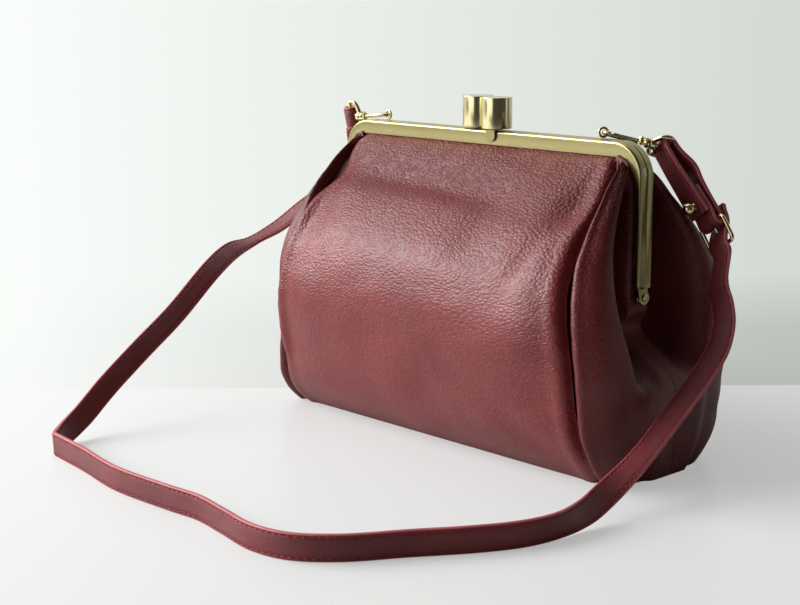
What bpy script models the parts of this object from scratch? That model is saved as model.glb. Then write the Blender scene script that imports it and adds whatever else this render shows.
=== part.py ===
"""A leather frame handbag with a kiss-lock clasp and a detachable shoulder strap.

Metres, +Z up. The origin is the middle of the base's underside, the front faces -Y.
"""

from math import acos, asin, atan2, cos, pi, sin, sqrt

import bmesh
import bpy
from mathutils import Matrix, Vector

# Clearances
GAP = 0.0003
CUT_OVERRUN = 0.001

# Frame halves: U-shaped brass channels that meet at y = 0
FRAME_WIDTH = 0.200
FRAME_TOP = 0.151
HALF_DEPTH = 0.0047
SHEET = 0.0009
BAR_FACE = 0.007
ARM_FACE = 0.003
CORNER_RADIUS = 0.016
EDGE_ROUND = 0.0012
HINGE_DROP = 0.0704
EAR_RADIUS = 0.0036
RIVET_RADIUS = 0.0011
RIVET_HEAD_RADIUS = 0.00175
RIVET_HEAD = 0.0008
CHANNEL_CORD_DIAMETER = 0.0008

# Clasp knobs
KNOB_RADIUS = 0.0076
KNOB_HEIGHT = 0.0151
KNOB_EDGE = 0.0005
KNOB_SPACING = 0.0156
KNOB_OFFSET = 0.0015
KNOB_LIFT = 0.0010
TONGUE_WIDTH = 0.0062
TONGUE_DROP = 0.0055
TONGUE_SHEET = 0.0012

# Leather body
LEATHER = 0.0012
LINING = 0.0006
BODY_OVERHANG = 0.001
BODY_HALF_WIDTH = FRAME_WIDTH / 2 + BODY_OVERHANG
BODY_HALF_DEPTH = 0.0525
GUSSET_BULGE = 0.0185
GUSSET_REACH = BODY_HALF_WIDTH + GUSSET_BULGE
PANEL_CROWN = 0.008
BASE_BOARD = 0.002
MOUTH_TUCK = 0.0042
SPLIT_DROP = 0.0035

# Strap fittings
EYELET_INSET = 0.027
EYELET_SPACING = FRAME_WIDTH - 2 * EYELET_INSET
EYELET_RADIUS = 0.0021
EYELET_WIRE = 0.0006
EYELET_SETBACK = 0.0011
HOOK_WIRE = 0.001
HOOK_CLAW_WIDTH = 0.0041
HOOK_CLAW_LENGTH = 0.0184
HOOK_NECK_RADIUS = 0.0025
HOOK_NECK = 0.002
HOOK_STUB_RADIUS = 0.0008
HOOK_HEAD_RADIUS = 0.0013
HOOK_HEAD = 0.001
GATE_WIRE = 0.00065
GATE_EYE_RADIUS = 0.0015
FORK_SHEET = 0.0005
FORK_RADIUS = 0.0017
LUG_INSET = 0.0001
GATE_PIN_RADIUS = 0.00045
GATE_PIN_HEAD_RADIUS = 0.0009
GATE_PIN_HEAD = 0.0004
EYE_WIRE = 0.00105
EYE_BOSS = 0.0026
EYE_BOSS_RADIUS = 0.0026
EYE_REACH = 0.0054
EYE_HALF_WIDTH = 0.0083

# Strap
STRAP_WIDTH = 0.0116
STRAP_THICKNESS = 0.0022
TAB_LENGTH = 0.0415
TAB_NEAR_SHARE = 0.89
TAB_TAIL_SHARE = 0.57
TAB_SLACK = 0.003
STUD_SLACK_SHARE = 0.4
STUD_SHARE = 0.78
STUD_SHANK = 0.0009
STUD_BALL_RADIUS = 0.0029
STUD_FOOT_RADIUS = 0.0022
STUD_FOOT = 0.0006
BUCKLE_WIRE = 0.001
FOLD_DROP = 0.0004
LOOP_RADIUS = BUCKLE_WIRE + GAP + STRAP_THICKNESS / 2
BUCKLE_LENGTH = 0.0125
BUCKLE_INNER_WIDTH = 0.0128
PRONG_WIRE = 0.0007
PRONG_SLOT = 0.0032
PRONG_EYE_RADIUS = 0.0021

MID_GAP = GAP / 2
HINGE_Z = FRAME_TOP - HINGE_DROP
CHANNEL_END = HINGE_Z + EAR_RADIUS + GAP * 2
INNER_CORNER = CORNER_RADIUS - ARM_FACE
SPLIT_Z = HINGE_Z - SPLIT_DROP

# Heights as shares of the frame's top, and sizes as shares of the body's half depth, half width and gusset reach
PROFILE_SHARES = (
    # height, seam depth, seam width, gusset crest depth, gusset crest reach, gusset middle reach
    (0.0, 0.630, 1.022, 0.330, 0.950, 0.975),
    (0.02, 0.695, 1.032, 0.370, 0.956, 0.982),
    (0.053, 0.785, 1.038, 0.420, 0.962, 0.989),
    (0.1, 0.868, 1.030, 0.480, 0.968, 0.997),
    (0.166, 0.930, 1.008, 0.530, 0.973, 1.0),
    (0.245, 0.962, 1.0, 0.570, 0.975, 0.998),
    (0.331, 0.990, 1.0, 0.590, 0.977, 0.975),
    (0.417, 1.0, 0.988, 0.620, 0.966, 0.880),
    (0.503, 0.988, 0.966, 0.665, 0.950, 0.812),
    (0.583, 0.937, 0.944, 0.676, 0.928, 0.808),
    (0.649, 0.855, 0.930, 0.645, 0.903, 0.808),
    (0.715, 0.735, 0.920, 0.572, 0.874, 0.808),
    (0.781, 0.590, 0.913, 0.460, 0.845, 0.808),
    (0.841, 0.425, 0.906, 0.335, 0.819, 0.806),
    (0.887, 0.293, 0.899, 0.215, 0.797, 0.800),
    (0.921, 0.190, 0.890, 0.112, 0.778, 0.782),
)
LOWER_ROW_SHARES = (0.0, 0.02, 0.053, 0.1, 0.166, 0.245, 0.331, 0.42, 0.49)
UPPER_ROW_SHARES = (0.583, 0.649, 0.715, 0.781, 0.841, 0.887, 0.921)
PANEL_COLUMNS = 12
RIDGE_COLUMNS = 4
HOLLOW_COLUMNS = 5

BRASS = (0.48, 0.40, 0.16)
OXBLOOD = (0.24, 0.045, 0.05)
LINING_RED = (0.20, 0.05, 0.06)
BOARD_GREY = (0.35, 0.33, 0.30)
PAPER = (0.62, 0.55, 0.42)


# Materials and collections

def collection(name):
    made = bpy.data.collections.new(name)
    bpy.context.scene.collection.children.link(made)
    return made


def material(name, colour, roughness, metallic=0.0):
    made = bpy.data.materials.new(name)
    made.use_nodes = True
    shader = made.node_tree.nodes["Principled BSDF"]
    shader.inputs["Base Color"].default_value = (*colour, 1.0)
    shader.inputs["Roughness"].default_value = roughness
    shader.inputs["Metallic"].default_value = metallic
    return made


for old in list(bpy.data.objects):
    bpy.data.objects.remove(old)
PARTS = collection("handbag")
CUTTERS = collection("cutters")


def add(name, mesh, colour, roughness=0.5, metallic=0.0, origin=None):
    """Puts a mesh in the handbag under its own name, material and origin."""
    made = bpy.data.objects.new(name, mesh)
    if origin is not None:
        mesh.transform(Matrix.Translation(-Vector(origin)))
        made.location = origin
    mesh.materials.clear()
    mesh.materials.append(material(name, colour, roughness, metallic))
    mesh.shade_smooth()
    mesh.set_sharp_from_angle(angle=pi / 6)
    PARTS.objects.link(made)
    return made


def brass(name, mesh, origin=None):
    return add(name, mesh, BRASS, 0.35, 1.0, origin)


def leather(name, mesh):
    return add(name, mesh, OXBLOOD, 0.55)


# Mesh makers

def mesh_of(bm, frame=None):
    if frame is not None:
        bmesh.ops.transform(bm, matrix=frame, verts=bm.verts)
    bmesh.ops.recalc_face_normals(bm, faces=bm.faces)
    made = bpy.data.meshes.new("piece")
    bm.to_mesh(made)
    bm.free()
    return made


def prism(outline, low, high, frame=None):
    """A flat outline, counter-clockwise in x and y, from one height to another."""
    bm = bmesh.new()
    face = bm.faces.new([bm.verts.new((x, y, low)) for x, y in outline])
    made = bmesh.ops.extrude_face_region(bm, geom=[face])
    lifted = [v for v in made["geom"] if isinstance(v, bmesh.types.BMVert)]
    bmesh.ops.translate(bm, vec=(0, 0, high - low), verts=lifted)
    return mesh_of(bm, frame)


def cylinder(radius, low, high, frame=None, sides=24):
    """A cylinder along its frame's z axis."""
    bm = bmesh.new()
    bmesh.ops.create_cone(
        bm, cap_ends=True, segments=sides, radius1=radius, radius2=radius, depth=high - low
    )
    bmesh.ops.translate(bm, vec=(0, 0, (high + low) / 2), verts=bm.verts)
    return mesh_of(bm, frame)


def box(low, high, frame=None):
    bm = bmesh.new()
    bmesh.ops.create_cube(bm, size=1.0)
    size = Vector(high) - Vector(low)
    middle = (Vector(high) + Vector(low)) / 2
    bmesh.ops.transform(bm, matrix=Matrix.Translation(middle) @ Matrix.Diagonal((*size, 1.0)), verts=bm.verts)
    return mesh_of(bm, frame)


def turned(profile, frame=None, steps=24):
    """A turned piece: (radius, height) points from the top of its axis to the bottom."""
    bm = bmesh.new()
    rings = []
    for radius, height in profile:
        if radius == 0:
            rings.append([bm.verts.new((0, 0, height))])
            continue
        turns = [2 * pi * i / steps for i in range(steps)]
        rings.append([bm.verts.new((radius * cos(t), radius * sin(t), height)) for t in turns])
    for above, below in zip(rings, rings[1:]):
        for i in range(steps):
            j = (i + 1) % steps
            corners = [above[i % len(above)], below[i % len(below)], below[j % len(below)], above[j % len(above)]]
            bm.faces.new(list(dict.fromkeys(corners)))
    return mesh_of(bm, frame)


def loft(sections, closed=False):
    """A closed solid through equal rings of points."""
    bm = bmesh.new()
    rings = [[bm.verts.new(p) for p in ring] for ring in sections]
    count = len(rings[0])
    pairs = list(zip(rings, rings[1:]))
    if closed:
        pairs.append((rings[-1], rings[0]))
    for one, two in pairs:
        for i in range(count):
            j = (i + 1) % count
            bm.faces.new((one[i], one[j], two[j], two[i]))
    if not closed:
        bm.faces.new(rings[0][::-1])
        bm.faces.new(rings[-1])
    bmesh.ops.triangulate(bm, faces=bm.faces)
    return mesh_of(bm)


def smooth_path(points, per_span):
    """Points along a curve through the given points, closer together than they are."""
    points = [Vector(p) for p in points]
    ends = [points[0] * 2 - points[1]] + points + [points[-1] * 2 - points[-2]]
    made = []
    for before, start, end, after in zip(ends, ends[1:], ends[2:], ends[3:]):
        for i in range(per_span):
            t = i / per_span
            made.append(
                0.5 * (2 * start + (end - before) * t + (2 * before - 5 * start + 4 * end - after) * t**2
                + (3 * start - before - 3 * end + after) * t**3)
            )
    return made + [points[-1]]


def wire(path, radius, frame=None, sides=6, closed=False):
    """A round wire along a path that stays near one plane."""
    sections = []
    count = len(path)
    for i, point in enumerate(path):
        before = path[i - 1] if closed or i else path[0]
        after = path[(i + 1) % count] if closed or i < count - 1 else path[-1]
        along = (Vector(after) - Vector(before)).normalized()
        side = along.cross(Vector((0, 0, 1))).normalized()
        up = side.cross(along)
        turns = [2 * pi * k / sides for k in range(sides)]
        sections.append([Vector(point) + side * radius * cos(t) + up * radius * sin(t) for t in turns])
    made = loft(sections, closed)
    if frame is not None:
        made.transform(frame)
    return made


def cutter(mesh, name):
    made = bpy.data.objects.new(name, mesh)
    made.hide_render = True
    made.display_type = "WIRE"
    CUTTERS.objects.link(made)
    return made


def combine(piece, mesh, operation):
    """Joins a mesh to a piece, or cuts it out."""
    tool = cutter(mesh, piece.name + "_" + operation.lower())
    tool.parent = piece
    tool.matrix_parent_inverse = Matrix.Translation(-piece.location)
    step = piece.modifiers.new(operation.lower(), "BOOLEAN")
    step.operation = operation
    step.solver = "EXACT"
    step.object = tool
    return piece


def axes(origin, along, across):
    """A frame whose x runs along, and whose y is as near to across as it can be."""
    x = Vector(along).normalized()
    y = Vector(across)
    y = (y - x * y.dot(x)).normalized()
    z = x.cross(y)
    return Matrix.Translation(origin) @ Matrix((x, y, z)).transposed().to_4x4()


def turned_to(origin, axis, across):
    """A frame whose z runs along an axis."""
    z = Vector(axis).normalized()
    x = Vector(across)
    x = (x - z * x.dot(z)).normalized()
    y = z.cross(x)
    return Matrix.Translation(origin) @ Matrix((x, y, z)).transposed().to_4x4()


# Frame halves

def frame_edge_stations():
    """Pairs of outer and inner points, (x, z), from the right arm's end over the top to the left arm's end."""
    half = FRAME_WIDTH / 2
    centre_x = half - CORNER_RADIUS
    outer_z = FRAME_TOP - CORNER_RADIUS
    inner_z = FRAME_TOP - BAR_FACE - INNER_CORNER
    stations = [((half, CHANNEL_END), (half - ARM_FACE, CHANNEL_END))]
    steps = 8
    for i in range(steps + 1):
        turn = pi / 2 * i / steps
        outer = (centre_x + CORNER_RADIUS * cos(turn), outer_z + CORNER_RADIUS * sin(turn))
        inner = (centre_x + INNER_CORNER * cos(turn), inner_z + INNER_CORNER * sin(turn))
        stations.append((outer, inner))
    mirrored = [((-o[0], o[1]), (-i[0], i[1])) for o, i in reversed(stations)]
    return stations + mirrored


def channel_profile(outer, inner, side, filled=False):
    """The channel's section at one station. Its rounded edge is on the side away from y = 0."""
    outer = Vector((outer[0], 0, outer[1]))
    inward = Vector((inner[0], 0, inner[1])) - outer
    depth = inward.length
    inward.normalize()
    face = MID_GAP + HALF_DEPTH
    back = depth - GAP if filled else SHEET
    points = []
    for i in range(4):
        turn = pi / 2 * i / 3
        points.append((EDGE_ROUND * (1 - sin(turn)), face - EDGE_ROUND * (1 - cos(turn))))
    points += [
        (0, MID_GAP),
        (depth, MID_GAP),
        (depth, MID_GAP + SHEET),
        (back, MID_GAP + SHEET),
        (back, face - SHEET),
        (depth, face - SHEET),
        (depth, face),
    ]
    return [outer + inward * s + Vector((0, side * y, 0)) for s, y in points]


def ear_outline(low_y, high_y, top):
    """A round ear about the hinge with a strip that rises to the channel, in y and z."""
    turns = 20
    start = asin(high_y / EAR_RADIUS) if high_y < EAR_RADIUS else pi / 2
    end = asin(max(low_y, -EAR_RADIUS) / EAR_RADIUS)
    first = pi / 2 - start
    last = pi / 2 - end
    points = [(low_y, top), (low_y, HINGE_Z + EAR_RADIUS * sin(last))] if low_y > -EAR_RADIUS else [(low_y, top), (low_y, HINGE_Z)]
    sweep = last - (first + 2 * pi)
    for i in range(turns + 1):
        turn = last - sweep * i / turns
        points.append((EAR_RADIUS * cos(turn), HINGE_Z + EAR_RADIUS * sin(turn)))
    points.append((high_y, top))
    return points


def frame_half(name, side):
    """One half, its channel open but for a filled end at the foot of each arm."""
    stations = frame_edge_stations()
    sections = [channel_profile(o, i, side) for o, i in stations]
    ends = []
    for outer, inner in (stations[0], stations[-1]):
        plug = [((outer[0], z), (inner[0], z)) for z in (CHANNEL_END, CHANNEL_END + SHEET)]
        ends.append([channel_profile(o, i, side, filled=True) for o, i in plug])
        ends[-1].append(channel_profile((outer[0], CHANNEL_END + SHEET + GAP), (inner[0], CHANNEL_END + SHEET + GAP), side))
    return brass(name, loft(ends[0] + sections[1:-1] + ends[1][::-1]), origin=(0, 0, HINGE_Z))


def side_frame(side):
    """A frame whose x and y are the world's y and z, and whose z points out of the bag's right or left side."""
    return Matrix(((0, 0, side, 0), (1, 0, 0, 0), (0, 1, 0, 0), (0, 0, 0, 1)))


def make_frame():
    half = FRAME_WIDTH / 2
    front = frame_half("front_frame", -1)
    back = frame_half("back_frame", 1)
    lap = SHEET
    for side in (1, -1):
        turned_side = side_frame(side)
        outline = ear_outline(-MID_GAP - HALF_DEPTH, -MID_GAP, CHANNEL_END + lap)
        combine(front, prism(outline, half - SHEET, half, turned_side), "UNION")
        strip = (MID_GAP + SHEET + GAP, MID_GAP + HALF_DEPTH - SHEET - GAP)
        inner = half - 2 * SHEET - GAP
        outline = ear_outline(strip[0], strip[1], CHANNEL_END + SHEET - GAP)
        combine(back, prism(outline, inner, inner + SHEET, turned_side), "UNION")
        for piece in (front, back):
            hole = cylinder(
                RIVET_RADIUS + GAP,
                inner - CUT_OVERRUN,
                half + CUT_OVERRUN,
                Matrix.Translation((0, 0, HINGE_Z)) @ side_frame(side),
            )
            combine(piece, hole, "DIFFERENCE")
        word = "right" if side > 0 else "left"
        low = inner - GAP
        high = half + GAP
        profile = [
            (0, high + RIVET_HEAD),
            (RIVET_HEAD_RADIUS * 0.6, high + RIVET_HEAD * 0.9),
            (RIVET_HEAD_RADIUS, high + RIVET_HEAD * 0.3),
            (RIVET_HEAD_RADIUS, high),
            (RIVET_RADIUS, high),
            (RIVET_RADIUS, low),
            (RIVET_HEAD_RADIUS, low),
            (RIVET_HEAD_RADIUS, low - RIVET_HEAD),
            (0, low - RIVET_HEAD),
        ]
        place = Matrix.Translation((0, 0, HINGE_Z)) @ side_frame(side)
        brass("hinge_rivet_" + word, turned(profile, place, steps=16))


def make_clasp():
    for word, side in (("front", -1), ("back", 1)):
        x = -side * KNOB_SPACING / 2
        y = side * KNOB_OFFSET
        low = FRAME_TOP + KNOB_LIFT
        high = low + KNOB_HEIGHT
        profile = [
            (0, high),
            (KNOB_RADIUS - KNOB_EDGE, high),
            (KNOB_RADIUS, high - KNOB_EDGE),
            (KNOB_RADIUS, low + KNOB_EDGE),
            (KNOB_RADIUS - KNOB_EDGE, low),
            (0, low),
        ]
        brass(word + "_knob", turned(profile, Matrix.Translation((x, y, 0)), steps=32))
        face = MID_GAP + HALF_DEPTH + GAP
        half = TONGUE_WIDTH / 2
        bottom = FRAME_TOP - TONGUE_DROP
        outline = [(x + half, FRAME_TOP + KNOB_LIFT - GAP), (x - half, FRAME_TOP + KNOB_LIFT - GAP)]
        steps = 10
        for i in range(steps + 1):
            turn = pi + pi * i / steps
            outline.append((x + half * cos(turn), bottom + half + half * sin(turn)))
        upright = Matrix(((1, 0, 0, 0), (0, 0, side, 0), (0, 1, 0, 0), (0, 0, 0, 1)))
        tongue = brass(word + "_knob_tongue", prism(outline, face, face + TONGUE_SHEET, upright))
        foot = sorted((side * (face + TONGUE_SHEET / 2), side * (MID_GAP + GAP)))
        low_corner = (x - half, foot[0], FRAME_TOP + GAP)
        high_corner = (x + half, foot[1], FRAME_TOP + KNOB_LIFT - GAP)
        combine(tongue, box(low_corner, high_corner), "UNION")


# Leather body

def profile_at(height):
    """The body's driving sizes at a height, smoothly between the rows of shares."""
    rows = PROFILE_SHARES
    share = min(max(height / FRAME_TOP, rows[0][0]), rows[-1][0])
    i = next(k for k in range(len(rows) - 1) if share <= rows[k + 1][0])
    low, high = rows[i], rows[i + 1]
    before = rows[max(i - 1, 0)]
    after = rows[min(i + 2, len(rows) - 1)]
    span = high[0] - low[0]
    t = (share - low[0]) / span
    values = []
    for k in range(1, len(low)):
        slope_low = (high[k] - before[k]) / (high[0] - before[0])
        slope_high = (after[k] - low[k]) / (after[0] - low[0])
        values.append(
            (2 * t**3 - 3 * t**2 + 1) * low[k]
            + (t**3 - 2 * t**2 + t) * span * slope_low
            + (3 * t**2 - 2 * t**3) * high[k]
            + (t**3 - t**2) * span * slope_high
        )
    depth, width, crest_depth, crest_reach, middle_reach = values
    return (
        depth * BODY_HALF_DEPTH,
        width * BODY_HALF_WIDTH,
        crest_depth * BODY_HALF_DEPTH,
        crest_reach * GUSSET_REACH,
        middle_reach * GUSSET_REACH,
    )


MOUTH_HALF = MID_GAP + SHEET + GAP * 2
ARM_CLEAR = MID_GAP + HALF_DEPTH + GAP * 3


def arm_limit(height):
    """How far out the leather may reach beside the frame's arm, at a height."""
    centre_z = FRAME_TOP - BAR_FACE - INNER_CORNER
    inner = FRAME_WIDTH / 2 - ARM_FACE
    rise = min(max(height - centre_z, 0), INNER_CORNER)
    return inner - INNER_CORNER + sqrt(INNER_CORNER**2 - rise**2) - GAP * 2


def body_point(column, height):
    """A point on the bag's outside. Columns run once round the bag from the middle of the right gusset to the front."""
    depth, width, crest_depth, crest_reach, middle_reach = profile_at(height)
    lip = FRAME_TOP - BAR_FACE
    tucked = MID_GAP + HALF_DEPTH - SHEET - GAP
    top_row = PROFILE_SHARES[-1][0] * FRAME_TOP
    if height > top_row:
        t = min((height - top_row) / (lip - GAP - top_row), 1)
        depth = depth + (tucked - depth) * (1 - cos(pi / 2 * t)) if t < 1 else tucked
        width = width + (BODY_HALF_WIDTH * 0.85 - width) * t
        crest_depth = min(crest_depth, (depth + MOUTH_HALF) / 2)
    side_columns = RIDGE_COLUMNS + HOLLOW_COLUMNS
    kind, k, sx, sy = column
    if kind == "panel":
        u = 2 * k / PANEL_COLUMNS - 1
        crown = PANEL_CROWN * sin(pi * min(max(height / lip, 0), 1)) ** 1.2 * (1 - abs(u) ** 3)
        return Vector((u * width, sy * (depth + crown), height))
    if kind == "middle":
        return Vector((sx * middle_reach, 0, height))
    if k <= RIDGE_COLUMNS:
        turn = pi / 2 * k / RIDGE_COLUMNS
        x = width + (crest_reach - width) * sin(turn)
        y = depth - (depth - crest_depth) * (1 - cos(turn))
    elif k < side_columns:
        s = (k - RIDGE_COLUMNS) / (side_columns - 1 - RIDGE_COLUMNS)
        x = middle_reach + (crest_reach - middle_reach) * (0.5 + 0.5 * cos(pi * s))
        y = crest_depth + (ARM_CLEAR - crest_depth) * s
    else:
        x = middle_reach
        y = MOUTH_HALF
    if height > SPLIT_Z and y < ARM_CLEAR + GAP:
        x = min(x, arm_limit(height))
    return Vector((sx * x, sy * y, height))


def gusset_columns(side, lobes=(-1, 1)):
    """Columns of a gusset from its front seam to its back seam, or of one lobe of it."""
    count = RIDGE_COLUMNS + HOLLOW_COLUMNS
    front = [("gusset", k, side, -1) for k in range(count + 1)]
    back = [("gusset", k, side, 1) for k in range(count, -1, -1)]
    if lobes == (-1,):
        return front
    if lobes == (1,):
        return back
    return front + [("middle", 0, side, 0)] + back


def panel_columns(side):
    return [("panel", k, 0, side) for k in range(PANEL_COLUMNS + 1)]


def around(columns, j):
    """The columns before and after one, across a seam where it is the last of its piece."""
    before = columns[j - 1] if j else None
    after = columns[j + 1] if j < len(columns) - 1 else None
    kind, k, sx, sy = columns[j]
    if kind == "panel" and (before is None or after is None):
        side = -1 if k == 0 else 1
        other = ("gusset", 1, side, sy)
        return (before or other, after or other)
    if kind == "gusset" and k == 0:
        other = ("panel", PANEL_COLUMNS - 1 if sx > 0 else 1, 0, sy)
        return (before or other, after or other)
    return (before or columns[j], after or columns[j])


def wall_normal(columns, j, height):
    """The outward direction of the bag's surface at a column and height."""
    step = LEATHER
    before, after = around(columns, j)
    across = body_point(after, height) - body_point(before, height)
    low = max(height - step, 0)
    up = body_point(columns[j], height + step) - body_point(columns[j], low)
    out = across.cross(up)
    if height <= 0 or height > FRAME_TOP - BAR_FACE - GAP:
        out.z = 0
    out.normalize()
    point = body_point(columns[j], height)
    return out if out.x * point.x + out.y * point.y > 0 else -out


def seam_shift(columns, j, height):
    """Half the sewing gap, inwards from a piece's first or last column."""
    if 0 < j < len(columns) - 1:
        return Vector((0, 0, 0))
    inner = columns[1] if j == 0 else columns[-2]
    return (body_point(inner, height) - body_point(columns[j], height)).normalized() * GAP / 2


def wall(columns, heights, outer, inner):
    """A closed piece of the bag's wall between two depths under its outside."""
    bm = bmesh.new()
    skins = []
    for depth in (outer, inner):
        skin = []
        for height in heights:
            row = []
            for j in range(len(columns)):
                point = body_point(columns[j], height) - wall_normal(columns, j, height) * depth
                row.append(bm.verts.new(point + seam_shift(columns, j, height)))
            skin.append(row)
        skins.append(skin)
    rows, count = len(heights), len(columns)
    for skin in skins:
        for i in range(rows - 1):
            for j in range(count - 1):
                bm.faces.new((skin[i][j], skin[i][j + 1], skin[i + 1][j + 1], skin[i + 1][j]))
    one, two = skins
    for i in (0, rows - 1):
        for j in range(count - 1):
            bm.faces.new((one[i][j], one[i][j + 1], two[i][j + 1], two[i][j]))
    for j in (0, count - 1):
        for i in range(rows - 1):
            bm.faces.new((one[i][j], one[i + 1][j], two[i + 1][j], two[i][j]))
    bmesh.ops.triangulate(bm, faces=bm.faces)
    return mesh_of(bm)


def floor_outline(height, inset):
    """The bag's outline at a height, moved in by an inset."""
    points = []
    ring = []
    ring.append(panel_columns(-1))
    ring.append(gusset_columns(1))
    ring.append(panel_columns(1)[::-1])
    ring.append(gusset_columns(-1)[::-1])
    for columns in ring:
        for j in range(len(columns) - 1):
            out = wall_normal(columns, j, height)
            out.z = 0
            point = body_point(columns[j], height) - out.normalized() * inset
            points.append((point.x, point.y))
    return points


def make_body():
    lower = [share * FRAME_TOP for share in LOWER_ROW_SHARES] + [SPLIT_Z - GAP / 2]
    upper = [SPLIT_Z + GAP / 2] + [share * FRAME_TOP for share in UPPER_ROW_SHARES]
    lip = FRAME_TOP - BAR_FACE
    last = UPPER_ROW_SHARES[-1] * FRAME_TOP
    turn_in = [last + (lip - GAP - last) * t for t in (0.55, 1)]
    tuck = [lip + MOUTH_TUCK]
    leather("front_panel", wall(panel_columns(-1), lower, 0, LEATHER))
    leather("front_panel_upper", wall(panel_columns(-1), upper + turn_in + tuck, 0, LEATHER))
    leather("back_panel", wall(panel_columns(1), lower[:-1] + upper + turn_in + tuck, 0, LEATHER))
    flap_rows = upper
    for word, side in (("left", -1), ("right", 1)):
        leather(word + "_gusset", wall(gusset_columns(side), lower, 0, LEATHER))
        leather(word + "_gusset_front_flap", wall(gusset_columns(side, (-1,)), flap_rows, 0, LEATHER))
        leather(word + "_gusset_back_flap", wall(gusset_columns(side, (1,)), flap_rows, 0, LEATHER))
    leather("base_panel", prism(floor_outline(0, LEATHER + GAP), 0, LEATHER))
    board = prism(floor_outline(0, LEATHER + GAP), LEATHER + GAP, LEATHER + GAP + BASE_BOARD)
    add("base_board", board, BOARD_GREY, 0.9)
    first = LEATHER + GAP * 2 + BASE_BOARD
    rows = [first] + [h for h in lower if h > first + LEATHER] + [h for h in upper if h > SPLIT_Z + LEATHER]
    skin = (LEATHER + GAP, LEATHER + GAP + LINING)
    for word, side in (("front", -1), ("back", 1)):
        add(word + "_lining", wall(panel_columns(side), rows, *skin), LINING_RED, 0.8)
    low_rows = [h for h in rows if h < SPLIT_Z]
    for word, side in (("left", -1), ("right", 1)):
        add(word + "_gusset_lining", wall(gusset_columns(side), low_rows, *skin), LINING_RED, 0.8)


def make_channel_cords():
    """Paper cords that pinch the leather into the top of each channel."""
    length = (FRAME_WIDTH / 2 - CORNER_RADIUS) * 2
    z = FRAME_TOP - SHEET - GAP * 2 - CHANNEL_CORD_DIAMETER
    y = MID_GAP + SHEET + GAP + CHANNEL_CORD_DIAMETER / 2
    for word, side in (("front", -1), ("back", 1)):
        place = turned_to((0, side * y, z), (1, 0, 0), (0, 1, 0))
        cord = cylinder(CHANNEL_CORD_DIAMETER / 2, -length / 2, length / 2, place, sides=8)
        add(word + "_channel_cord", cord, PAPER, 0.9)


# Strap fittings

RING_Z = FRAME_TOP + GAP + EYELET_RADIUS + EYELET_WIRE
HOOK_DIRECTIONS = {"left": (-0.990, 0.05, -0.10), "right": (0.500, 0.830, -0.245)}
HOOK_SIDES = {"left": (0.0, 1.0, 0.0), "right": (-1.0, 0.0, 0.0)}
BAR_DIRECTIONS = {"left": (0.0, -0.15, 0.99), "right": (0.775, -0.303, 0.556)}
NECK_START = HOOK_CLAW_LENGTH + GATE_EYE_RADIUS + GAP * 2
NECK_END = NECK_START + HOOK_NECK
BOSS_START = NECK_END + GAP
BOSS_END = BOSS_START + EYE_BOSS
HEAD_START = BOSS_END + GAP
BAR_PLACE = BOSS_END + EYE_REACH


def hook_frame(word):
    side = 1 if word == "right" else -1
    origin = (side * EYELET_SPACING / 2, EYELET_SETBACK, RING_Z)
    return axes(origin, HOOK_DIRECTIONS[word], HOOK_SIDES[word])


def make_eyelet(word):
    side = 1 if word == "right" else -1
    steps = 16
    turns = [2 * pi * i / steps for i in range(steps)]
    path = [Vector((EYELET_RADIUS * cos(t), EYELET_RADIUS * sin(t), 0)) for t in turns]
    along = Vector(HOOK_DIRECTIONS[word])
    place = turned_to((side * EYELET_SPACING / 2, EYELET_SETBACK, RING_Z), (-along.y, along.x, 0), along)
    brass(word + "_strap_eyelet", wire(path, EYELET_WIRE, place, closed=True))


def make_hook(word):
    """A snap hook: a claw round the eyelet, a fork for the gate, and a headed stub for the swivel eye."""
    place = hook_frame(word)
    wide = HOOK_CLAW_WIDTH
    neck = NECK_START
    claw_shares = (
        (1.04, 0.30), (0.95, 0.62), (0.7, 0.92), (0.4, 1.0), (0.14, 0.82),
        (0.01, 0.4), (0.0, 0.0), (0.04, -0.42), (0.13, -0.72),
    )
    points = [Vector((share * neck, y * wide, 0)) for share, y in claw_shares]
    claw = wire(smooth_path(points, 2), HOOK_WIRE, place)
    body = brass(word + "_hook", claw)
    along = place @ turned_to((0, 0, 0), (1, 0, 0), (0, 1, 0))
    profile = [
        (0, HEAD_START + HOOK_HEAD),
        (HOOK_HEAD_RADIUS, HEAD_START + HOOK_HEAD),
        (HOOK_HEAD_RADIUS, HEAD_START),
        (HOOK_STUB_RADIUS, HEAD_START),
        (HOOK_STUB_RADIUS, NECK_END),
        (HOOK_NECK_RADIUS, NECK_END),
        (HOOK_NECK_RADIUS, NECK_START),
        (0, NECK_START),
    ]
    combine(body, turned(profile, along, steps=16), "UNION")
    pivot = gate_pivot()
    for side in (1, -1):
        inner = GATE_WIRE + GAP
        low, high = sorted((side * inner, side * (inner + FORK_SHEET)))
        disc = cylinder(FORK_RADIUS, low, high, place @ Matrix.Translation(pivot), sides=16)
        combine(body, disc, "UNION")
        lug_low = (pivot.x + LUG_INSET, pivot.y - FORK_RADIUS * 0.8, low + LUG_INSET)
        lug_high = (neck + HOOK_NECK / 2, pivot.y + FORK_RADIUS * 0.8, high - LUG_INSET)
        combine(body, box(lug_low, lug_high, place), "UNION")
    reach = GATE_WIRE + GAP + FORK_SHEET + CUT_OVERRUN
    hole = cylinder(GATE_PIN_RADIUS + GAP, -reach, reach, place @ Matrix.Translation(pivot), sides=12)
    combine(body, hole, "DIFFERENCE")


def gate_pivot():
    return Vector((HOOK_CLAW_LENGTH, -HOOK_CLAW_WIDTH * 0.4, 0))


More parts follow.
